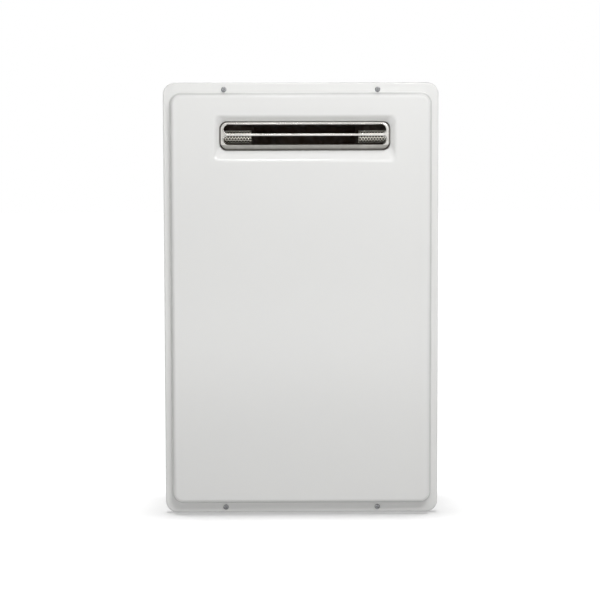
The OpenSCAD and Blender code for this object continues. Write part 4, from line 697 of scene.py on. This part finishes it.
# loops from the outlet in the rear over the rounded back edge to the bullnose; then for each slot, loops that
# go over from half of the front's outline to the slot and roll inwards by a quarter circle
def flueTerminal(v):
    halfW, halfH = (terminalHigh[0] - terminalLow[0]) / 2, v["height"] / 2
    front, back = terminalLow[1], terminalHigh[1]
    bar, nose, bend, roll = flueZ + v["rise"], v["bullnose"], v["rearBend"], v["roll"]

    def bodyLoop(inset, depth, wide=halfW, corner=v["corner"], tall=halfH):
        upper = halfLoop(wide - inset, tall - inset - v["rise"], corner - inset)
        lower = halfLoop(wide - inset, tall - inset + v["rise"], corner - inset) * (-1, -1)
        flat = np.concatenate([upper[:-1], lower[:-1]])
        return np.stack([flat[:, 0] + flueX, np.full(len(flat), depth), flat[:, 1] + bar], -1)

    body = [bodyLoop(0.0, back, v["outletW"] / 2, v["outletCorner"], v["outletH"] / 2),
            bodyLoop(v["rearFlat"], back)]
    body += [bodyLoop(inset, depth) for inset, depth in arcPoints((bend, back - bend), bend, 90, 180, 5)]
    body.append(bodyLoop(0.0, front + nose + v["noseFlat"]))
    body += [bodyLoop(inset, depth) for inset, depth in arcPoints((nose, front + nose), nose, 180, 270, 10)]
    surfaces = [gridSurface(np.stack(body))]

    slotHalfW, slotHalfH, centre = v["slotW"] / 2, v["slotH"] / 2, (v["slotH"] + v["bar"]) / 2
    for side in (1, -1):
        outer = halfLoop(halfW - nose, halfH - side * v["rise"] - nose, v["corner"] - nose)
        outer = np.concatenate([outer, baseLine(outer[-1, 0], outer[0, 0], 0.0)])
        flat = slotLoop(slotHalfW + roll, slotHalfH + roll, centre)
        rows = [(outer + share * (flat - outer), front) for share in v["faceSteps"]]
        for inset, depth in arcPoints((roll, front + roll), roll, 270, 180, 8):
            rows.append((slotLoop(slotHalfW + inset, slotHalfH + inset, centre), depth))
        rows.append((slotLoop(slotHalfW, slotHalfH, centre), front + roll + v["rollEnd"]))
        loops = [np.stack([side * p[:, 0] + flueX, np.full(len(p), depth), side * p[:, 1] + bar], -1)
                 for p, depth in rows]
        surfaces.append(gridSurface(np.stack(loops)))
    return joinSurfaces(surfaces)


addPiece("flueTerminal", flueTerminal(terminalSet), "casing", "flueSteel", ["flue_terminal"],
         terminalSet["sheet"])


# a plate with round corners and rounded edges, closed at both ends by its middle line
def roundedSlab(centreX, centreZ, halfW, halfH, radius, near, far, edge):
    bends = np.concatenate([arcPoints((edge, near + edge), edge, 270, 180, 4),
                            arcPoints((edge, far - edge), edge, 180, 90, 4)])
    line = (max(halfW - halfH, 0.01), max(halfH - halfW, 0.01), 0.0)
    loops = [(*line, near, centreX, centreZ)]
    loops += [(halfW - i, halfH - i, radius - i, depth, centreX, centreZ) for i, depth in bends]
    loops.append((*line, far, centreX, centreZ))
    return gridSurface(loopStack(loops, 6))


# two slabs behind the terminal, one above it and one below, each a little way under it
def flangeTabs(v):
    middle = (v["flange"] + v["height"] - v["tabUnder"]) / 4
    halfH = (v["flange"] - v["height"] + v["tabUnder"]) / 4
    back = terminalHigh[1]
    front = back - v["tabSheet"]
    return joinSurfaces([
        roundedSlab(flueX, flueZ + side * middle, v["flangeW"] / 2, halfH, v["tabCorner"], front, back,
                    v["tabEdge"]) for side in (-1, 1)])


addPiece("flueFlangeTabs", flangeTabs(terminalSet), "casing", "stainless", sharp=60)
print("flue terminal made")


# Flue guards: sheet of six-sided cells, each with a round hole, rolled into a tube

guardLow, guardHigh = nodeBox("flue_guards")
guardSet = {"length": 42.5, "rows": 16, "hole": 1.9, "sheet": 0.45}


# cell points lie at twelve angles on a hexagon and on the hole; x runs along the tube, s round it
def perforatedTube(v, x0, x1, count=12):
    radius = (guardHigh[2] - guardLow[2]) / 2
    centreY, centreZ = (guardLow[1] + guardHigh[1]) / 2, (guardLow[2] + guardHigh[2]) / 2
    step = 2 * math.pi * radius / v["rows"]
    pitch = step * 2 / math.sqrt(3)
    across = int(v["length"] / pitch) + 2
    row, col = np.meshgrid(np.arange(v["rows"]), np.arange(across), indexing="ij")
    midX = x0 + (col + 0.5 * (row % 2)) * pitch
    midS = row * step
    k = np.arange(count)
    angle = k * 2 * math.pi / count
    outer = np.where(k % 2 == 0, pitch / 2, pitch / math.sqrt(3))
    spread = np.stack([outer, np.full(count, v["hole"])])
    x = np.clip(midX[..., None, None] + spread * np.cos(angle), x0, x1)
    a = (midS[..., None, None] + spread * np.sin(angle)) / radius
    points = np.stack([x, centreY - radius * np.cos(a), centreZ + radius * np.sin(a)], -1).reshape(-1, 3)
    cell = np.stack([k, (k + 1) % count, (k + 1) % count + count, k + count], -1)
    faces = (np.arange(row.size) * 2 * count)[:, None, None] + cell
    return points, faces.reshape(-1, 4)


# one tube at each end of the node's box
def flueGuards(v):
    return joinSurfaces([perforatedTube(v, guardLow[0], guardLow[0] + v["length"]),
                         perforatedTube(v, guardHigh[0] - v["length"], guardHigh[0])])


addPiece("flueGuards", flueGuards(guardSet), "casing", "guardSteel", ["flue_guards"],
         guardSet["sheet"])
print("flue guards made")


# Cover gasket

gasketLow, gasketHigh = nodeBox("cover_gasket")
gasketSet = {"outerCorner": 15.5, "innerW": 390.0, "innerH": 618.0, "innerCorner": 14.0, "edge": 1.1,
             "arcSteps": 14}


# a foam strip carried round the flange: outer and inner loops, with quarter circles at its four long edges
def coverGasket(v):
    outW, outH = (gasketHigh[0] - gasketLow[0]) / 2, (gasketHigh[2] - gasketLow[2]) / 2
    inW, inH = v["innerW"] / 2, v["innerH"] / 2
    near, far, e = gasketLow[1], gasketHigh[1], v["edge"]
    edges = np.concatenate([arcPoints((e, near + e), e, 270, 180, 5), arcPoints((e, far - e), e, 180, 90, 5)])
    outer = [(outW - i, outH - i, v["outerCorner"] - i, d, 0.0, middleZ) for i, d in edges]
    inner = [(inW + i, inH + i, v["innerCorner"] + i, d, 0.0, middleZ) for i, d in edges[::-1]]
    return gridSurface(loopStack(outer + inner, v["arcSteps"]), closedRows=True)


addPiece("coverGasket", coverGasket(gasketSet), "cover", "gasket_foam", ["cover_gasket"])
print("cover gasket made")


# Leads: round tubes along a smooth curve from terminal to terminal, with a ribbed boot at each plugged end

leadSet = {
    "ignition": 1.8, "harness": 2.6, "probe": 1.8,                    # radius of each kind
    "boot": 9.0, "swell": 0.42, "rib": 0.10, "ribPitch": 1.7, "end": 0.8,
    "aside": (0.83, -0.31, 0.47),                                     # a direction that no lead runs along
}
ignitionRoute = [   # from the igniter box to the spark electrode
    (177.75, 20.5, 194.2), (177.75, 20.5, 201.7), (177.75, 20.5, 209.7), (151.75, -9.5, 213.7),
    (150, -48, 227.7), (148, -74, 245.7), (132, -78, 273.7), (106, -78, 293.7), (75, -75.3, 306.7),
    (57, -75.3, 315.7), (51, -71.3, 319.7), (51, -66.3, 319.7), (51, -62.3, 319.7)]
harnessRoutes = [   # from the control tray to the gas valve's two coils and the power gland
    [(159, -37.5, 254.7), (159, -37.5, 246.7), (159, -37.5, 236.7), (158, -74, 190.7), (142, -59.8, 114.5),
     (136, -59.8, 100.5), (136, -56.8, 96.5), (136, -51.8, 96.5), (136, -47.8, 96.5)],
    [(170.5, -37.5, 254.7), (170.5, -37.5, 246.7), (170.5, -37.5, 236.7), (170, -72, 180.7),
     (160, -55.8, 87.5), (140, -60.8, 66.5), (136, -56.8, 63.5), (136, -51.8, 63.5), (136, -47.8, 63.5)],
    [(182, -37.5, 254.7), (182, -37.5, 246.7), (182, -37.5, 236.7), (179.5, -29.5, 216.7),
     (183.5, -11.5, 183.7), (184.5, -13.5, 133.7), (170, -25.5, 41), (122, -23.5, 30), (82, 8.5, 50.3),
     (72, 20.5, 46.3), (72, 20.5, 38.3), (72, 20.5, 30.3)]]
loomRoute = [   # along the floor, from the power lead to the left
    (122, -27.6, 30), (122, -31.6, 30), (114, -42, 28), (86, -50, 24), (30, -50, 24), (-34, -50, 24),
    (-73, -50, 24), (-93, -50, 24)]
teeRoutes = [   # from the fan motor, the water valve's motor and the flow sensor down to the loom
    [(12, -46.8, 151.5), (12, -50.8, 151.5), (12, -54.8, 149.5), (16, -56, 129.5), (22, -53, 71),
     (24, -50, 41), (24, -50, 26.9)],
    [(-77, -26.8, 114), (-77, -30.8, 114), (-77, -34.8, 112), (-71, -40, 90), (-65, -48, 71),
     (-63, -50, 41), (-63, -50, 26.9)],
    [(-83, -4.8, 80), (-83, -8.8, 80), (-84, -12.8, 79), (-95, -31.5, 66), (-91, -44, 55),
     (-88, -50, 39), (-88, -50, 26.9)]]
probeRoutes = [   # from the flame rod to the tray and from the limit switch to the board
    [(76, -62.3, 319.7), (76, -66.3, 319.7), (76, -70.3, 319.7), (82, -73.3, 323.7), (106, -68.3, 339.7),
     (131.5, -51.5, 320.7), (139.5, -37.5, 340.7), (143.5, -37.5, 340.7), (150.5, -37.5, 340.7)],
    [(72, -59.3, 448.7), (72, -62.3, 448.7), (73, -66.3, 448.7), (86, -69.3, 438.7), (135.25, -63.25, 417.7),
     (141.5, -62.5, 402.7), (157.5, -66.5, 406.7), (158.54, -52.1, 420.7), (158.54, -46.1, 420.7),
     (158.54, -41.4, 420.7)]]


# cubic through four neighbours: b + t(c-a)/2 + t^2(2a-5b+4c-d)/2 + t^3(3b-a-3c+d)/2
def smoothPath(route, steps=12):
    p = np.array(route, float)
    padded = np.concatenate([p[:1], p, p[-1:]])
    i = np.repeat(np.arange(len(p) - 1), steps)
    t = np.tile(np.arange(steps) / steps, len(p) - 1)[:, None]
    a, b, c, d = (padded[i + k] for k in range(4))
    curve = (b + t * (c - a) / 2 + t ** 2 * (2 * a - 5 * b + 4 * c - d) / 2
             + t ** 3 * (3 * b - a - 3 * c + d) / 2)
    return np.concatenate([curve, p[-1:]])


# rings stand square to the path; near both ends the radius swells by a cosine step and carries fine ribs
def leadTube(v, route, radius, boots=(1, 1), around=20):
    path = smoothPath(route)
    way = np.gradient(path, axis=0)
    way /= np.linalg.norm(way, axis=1)[:, None]
    side = np.cross(way, v["aside"])
    side /= np.linalg.norm(side, axis=1)[:, None]
    up = np.cross(way, side)
    run = np.concatenate([[0.0], np.cumsum(np.linalg.norm(np.diff(path, axis=0), axis=1))])
    end = np.minimum(run, run[-1] - run)
    boot = 0.5 + 0.5 * np.cos(np.clip(end / v["boot"], 0, 1) * math.pi)
    boot *= np.where(run < run[-1] / 2, *boots)
    r = radius * (1 + boot * (v["swell"] + v["rib"] * np.cos(2 * math.pi * end / v["ribPitch"])))
    r = np.concatenate([[0.0, r[0] * v["end"]], r[1:-1], [r[-1] * v["end"], 0.0]])[:, None, None]
    path, side, up = (np.concatenate([c[:1], c, c[-1:]])[:, None, :] for c in (path, side, up))
    a = turnAngles(around)[None, :, None]
    return gridSurface(path + r * (np.cos(a) * side + np.sin(a) * up))


# every lead of the harness; the loom has no boots, and a tee has one at its plug alone
def wiringHarness(v):
    leads = [leadTube(v, route, v["harness"]) for route in harnessRoutes]
    leads += [leadTube(v, route, v["probe"]) for route in probeRoutes]
    leads.append(leadTube(v, loomRoute, v["harness"], (0, 0)))
    leads += [leadTube(v, route, v["probe"], (1, 0)) for route in teeRoutes]
    return joinSurfaces(leads)


addPiece("ignitionLead", leadTube(leadSet, ignitionRoute, leadSet["ignition"]), "casing",
         "lead_red", ["ignition_lead"])
addPiece("wiringHarness", wiringHarness(leadSet), "casing", "lead_grey", ["wiring_harness"])
print("leads made")


# Pipe fittings: a threaded tail under a flange on the floor, and on the water side a drain port with its web

fittingSet = {
    "across": 20.5, "bore": 9.2, "low": 2.0, "edge": 0.8,                       # edge: chamfers
    "thread": 13.2, "pitch": 1.814, "cut": 1.05, "crest": 0.8, "fade": 1.2, "threadRows": 92,
    "tip": 0.7, "tipCut": 1.4, "tipSlope": 0.9, "relief": 1.0, "groove": 0.6,   # ends of the thread
    "neck": 14.2, "neckZ": 18.0, "neckCut": 0.5,
    "floor": 21.0, "flange": 3.0, "flangeCorner": 10.0, "flangeEdge": 0.7,
    "portY": -17.5, "port": 12.0, "portBore": 8.05, "portLow": 16.0, "portTop": 55.0, "portEdge": 1.2,
    "portMouth": 0.7, "portRoof": 3.0,
    "web": 7.0, "webTop": 47.0, "webCorner": 1.6, "webEdge": 1.2, "webUp": 1.0,
}


# radius = thread radius less a rounded wave of (height / pitch + angle / turn) that fades at both ends
def threadedTail(v, x, top, around=72):
    bore, thread, neck, low, neckZ, edge = (v[k] for k in ("bore", "thread", "neck", "low", "neckZ", "edge"))
    root, groove = thread - v["cut"], v["groove"]
    rows = np.linspace(low + v["tip"], neckZ - v["relief"], v["threadRows"])
    crest = np.minimum(thread, thread - v["tipCut"] + (rows - low) * v["tipSlope"])
    fade = np.clip((rows - rows[0]) / v["fade"], 0, 1) * np.clip((rows[-1] - rows) / v["fade"], 0, 1)
    mouth = [(bore, low + edge), (bore + edge, low)]
    shank = [(root, neckZ - groove), (root, neckZ), (neck - v["neckCut"], neckZ), (neck, neckZ + groove),
             (neck, top - edge), (neck - edge, top), (bore + edge, top), (bore, top - edge)]
    points = turned(np.concatenate([mouth, np.stack([crest, rows], -1), shank]), 0.0, 0.0, around)
    wave = np.concatenate([np.zeros(len(mouth)), fade, np.zeros(len(shank))])
    a = np.linspace(0, 1, around, endpoint=False)[None, :]
    ridge = 0.5 - 0.5 * np.cos(2 * math.pi * (points[..., 2] / v["pitch"] - a))
    inward = v["cut"] * wave[:, None] * ridge ** v["crest"]
    size = np.hypot(points[..., 0], points[..., 1])
    points[..., :2] *= ((size - inward) / size)[..., None]
    return gridSurface(points + (x, v["across"], 0.0), closedRows=True)


# the rounded slab, laid flat
def flatSlab(x, y, halfW, halfD, radius, low, high, edge):
    points, faces = roundedSlab(x, y, halfW, halfD, radius, low, high, edge)
    return points[:, [0, 2, 1]], faces


# the tail and a slab over the node's width and depth, on the floor
def flangedTail(v, low, high, x, y):
    return [threadedTail(v, x, high[2]),
            flatSlab(x, y, (high[0] - low[0]) / 2, (high[1] - low[1]) / 2, v["flangeCorner"], v["floor"],
                     v["floor"] + v["flange"], v["flangeEdge"])]


# a flanged tail with a turned cup for the drain plug and a slab from one to the other
def waterFitting(v, node):
    low, high = nodeBox(node)
    x = (low[0] + high[0]) / 2
    port, bore, base, top, edge = v["port"], v["portBore"], v["portLow"], v["portTop"], v["portEdge"]
    cup = [(0.0, top), (port - edge, top), (port, top - edge), (port, base + v["edge"]),
           (port - v["edge"], base), (bore + v["portMouth"], base), (bore, base + v["portMouth"]),
           (bore, top - v["portRoof"]), (0.0, top - v["portRoof"])]
    web = flatSlab(x, (v["portY"] + v["across"]) / 2, v["web"], (v["across"] - v["portY"]) / 2,
                   v["webCorner"], v["floor"] + v["webUp"], v["webTop"], v["webEdge"])
    tail, flange = flangedTail(v, low, high, x, (low[1] + high[1]) / 2)
    return joinSurfaces([tail, gridSurface(turned(cup, x, v["portY"], 48)), flange, web])


# a flanged tail alone
def gasNipple(v):
    low, high = nodeBox("gas_nipple")
    return joinSurfaces(flangedTail(v, low, high, (low[0] + high[0]) / 2, v["across"]))


for name, node in (("coldFitting", "cold_fitting"), ("hotFitting", "hot_fitting")):
    addPiece(name, waterFitting(fittingSet, node), "casing", "brass", [node], sharp=35)
addPiece("gasNipple", gasNipple(fittingSet), "casing", "brass", ["gas_nipple"], sharp=35)
print("fittings made")


# Floor and light

stageSet = {
    "floor": (0.74, 0.74, 0.74), "floorGlow": 0.27,             # to the eye and in reflections
    "floorBounce": (0.15, 0.15, 0.15), "floorLight": 0.30,      # for the light it throws on the object
    "floorReach": 30.0, "dome": 0.17, "white": (1.0, 1.0, 1.0, 1.0),
    "lamps": {   # place, aim, width, height and power
        "keyLight": ((430, -1400, 1160), (0, -80, 300), 0.36, 0.09, 7.7),
        "edgeLight": ((-37, -1050, 1250), (0, -80, 480), 0.13, 0.20, 2.4),
        "rightFill": ((1500, -3300, 700), (0, -80, 330), 2.4, 1.8, 6.8),
        "leftFill": ((-1700, -3200, 700), (0, -80, 330), 2.4, 1.8, 8.2),
        "lowFill": ((0, -1200, 160), (0, -80, 60), 1.6, 0.2, 1.7),
        "topLight": ((0, -600, 1500), (0, -80, 600), 1.2, 0.5, 2.4),
        "rightSide": ((3200, 900, 800), (0, 0, 330), 2.0, 1.6, 14.0),
        "leftSide": ((-3200, 900, 800), (0, 0, 330), 2.0, 1.6, 9.0),
        "backFill": ((-1100, 3300, 1000), (0, 90, 330), 3.6, 2.6, 25.0),
    },
    "sun": 1.45, "sunBack": 2.5, "sunSpread": 3.5, "sunSoft": 10.0,   # each of two, for the floor alone
}


# one for the camera's rays, reflections and glass, and nothing for plain light
def seenRays(tree):
    rays = addNode(tree, "LightPath")
    seen = addNode(tree, "Math", {"operation": "ADD", "use_clamp": True})
    seenToo = addNode(tree, "Math", {"operation": "ADD", "use_clamp": True})
    chain(tree, (rays, "Is Camera Ray", seen, 0), (rays, "Is Glossy Ray", seen, 1), (seen, 0, seenToo, 0),
          (rays, "Is Transmission Ray", seenToo, 1))
    return seenToo


# white to the eye and in reflections, plain light on the object
def makeWorld(v):
    world = bpy.data.worlds.new("studio")
    scene.world = world
    world.use_nodes = True
    tree = world.node_tree
    tree.nodes.clear()
    seen = seenRays(tree)
    plain = addNode(tree, "Background", {"Color": v["white"], "Strength": v["dome"]})
    white = addNode(tree, "Background", {"Color": v["white"], "Strength": 1.0})
    mix = addNode(tree, "MixShader")
    out = addNode(tree, "OutputWorld")
    chain(tree, (seen, 0, mix, 0), (plain, 0, mix, 1), (white, 0, mix, 2), (mix, 0, out, "Surface"))


# pale floor that keeps the shadow; a faint glow of its own lifts it to white
def makeFloor(v):
    reach = v["floorReach"]
    corners = [(-reach, -reach, 0), (reach, -reach, 0), (reach, reach, 0), (-reach, reach, 0)]
    mesh = bpy.data.meshes.new("floor")
    mesh.from_pydata(corners, [], [(0, 1, 2, 3)])
    floor = bpy.data.objects.new("floor", mesh)
    scene.collection.objects.link(floor)
    material = bpy.data.materials.new("paleFloor")
    material.use_nodes = True
    tree = material.node_tree
    tree.nodes.clear()
    seen = seenRays(tree)
    much = addNode(tree, "MapRange", {"To Min": v["floorLight"], "To Max": v["floorGlow"]})
    tone = addNode(tree, "Mix", {
        "data_type": "RGBA", mixA: (*v["floorBounce"], 1.0), mixB: (*v["floor"], 1.0)})
    matt = addNode(tree, "BsdfDiffuse")
    glow = addNode(tree, "Emission", {"Color": v["white"]})
    both = addNode(tree, "AddShader")
    out = addNode(tree, "OutputMaterial")
    chain(tree, (seen, 0, much, "Value"), (much, 0, glow, "Strength"), (seen, 0, tone, 0),
          (tone, mixOut, matt, "Color"), (matt, 0, both, 0), (glow, 0, both, 1), (both, 0, out, "Surface"))
    mesh.materials.append(material)


# a collection that lights the floor alone, or everything but the floor
def floorLink(name, state):
    receivers = bpy.data.collections.new(name)
    receivers.objects.link(bpy.data.objects["floor"])
    receivers.collection_objects[0].light_linking.link_state = state
    return receivers


def makeLamps(v):
    for name, (place, aim, width, height, power) in v["lamps"].items():
        data = bpy.data.lights.new(name, "AREA")
        data.shape = "RECTANGLE"
        data.size, data.size_y, data.energy = width, height, power
        lamp = bpy.data.objects.new(name, data)
        lamp.location = Vector(place) * mm
        lamp.rotation_euler = (Vector(aim) - Vector(place)).to_track_quat("-Z", "Y").to_euler()
        scene.collection.objects.link(lamp)
        lamp.visible_camera = False
        lamp.light_linking.receiver_collection = floorLink("not" + name, "EXCLUDE")


# two soft suns from a little behind, so that the floor's shadow lies in front and at both sides
def makeFloorSuns(v):
    for name, side in (("floorSunLeft", -1), ("floorSunRight", 1)):
        data = bpy.data.lights.new(name, "SUN")
        data.energy, data.angle = v["sun"], math.radians(v["sunSoft"])
        sun = bpy.data.objects.new(name, data)
        sun.rotation_euler = (math.radians(-v["sunBack"]), math.radians(side * v["sunSpread"]), 0.0)
        scene.collection.objects.link(sun)
        sun.light_linking.receiver_collection = floorLink("only" + name, "INCLUDE")


makeWorld(stageSet)
makeFloor(stageSet)
makeLamps(stageSet)
makeFloorSuns(stageSet)
print("stage set")
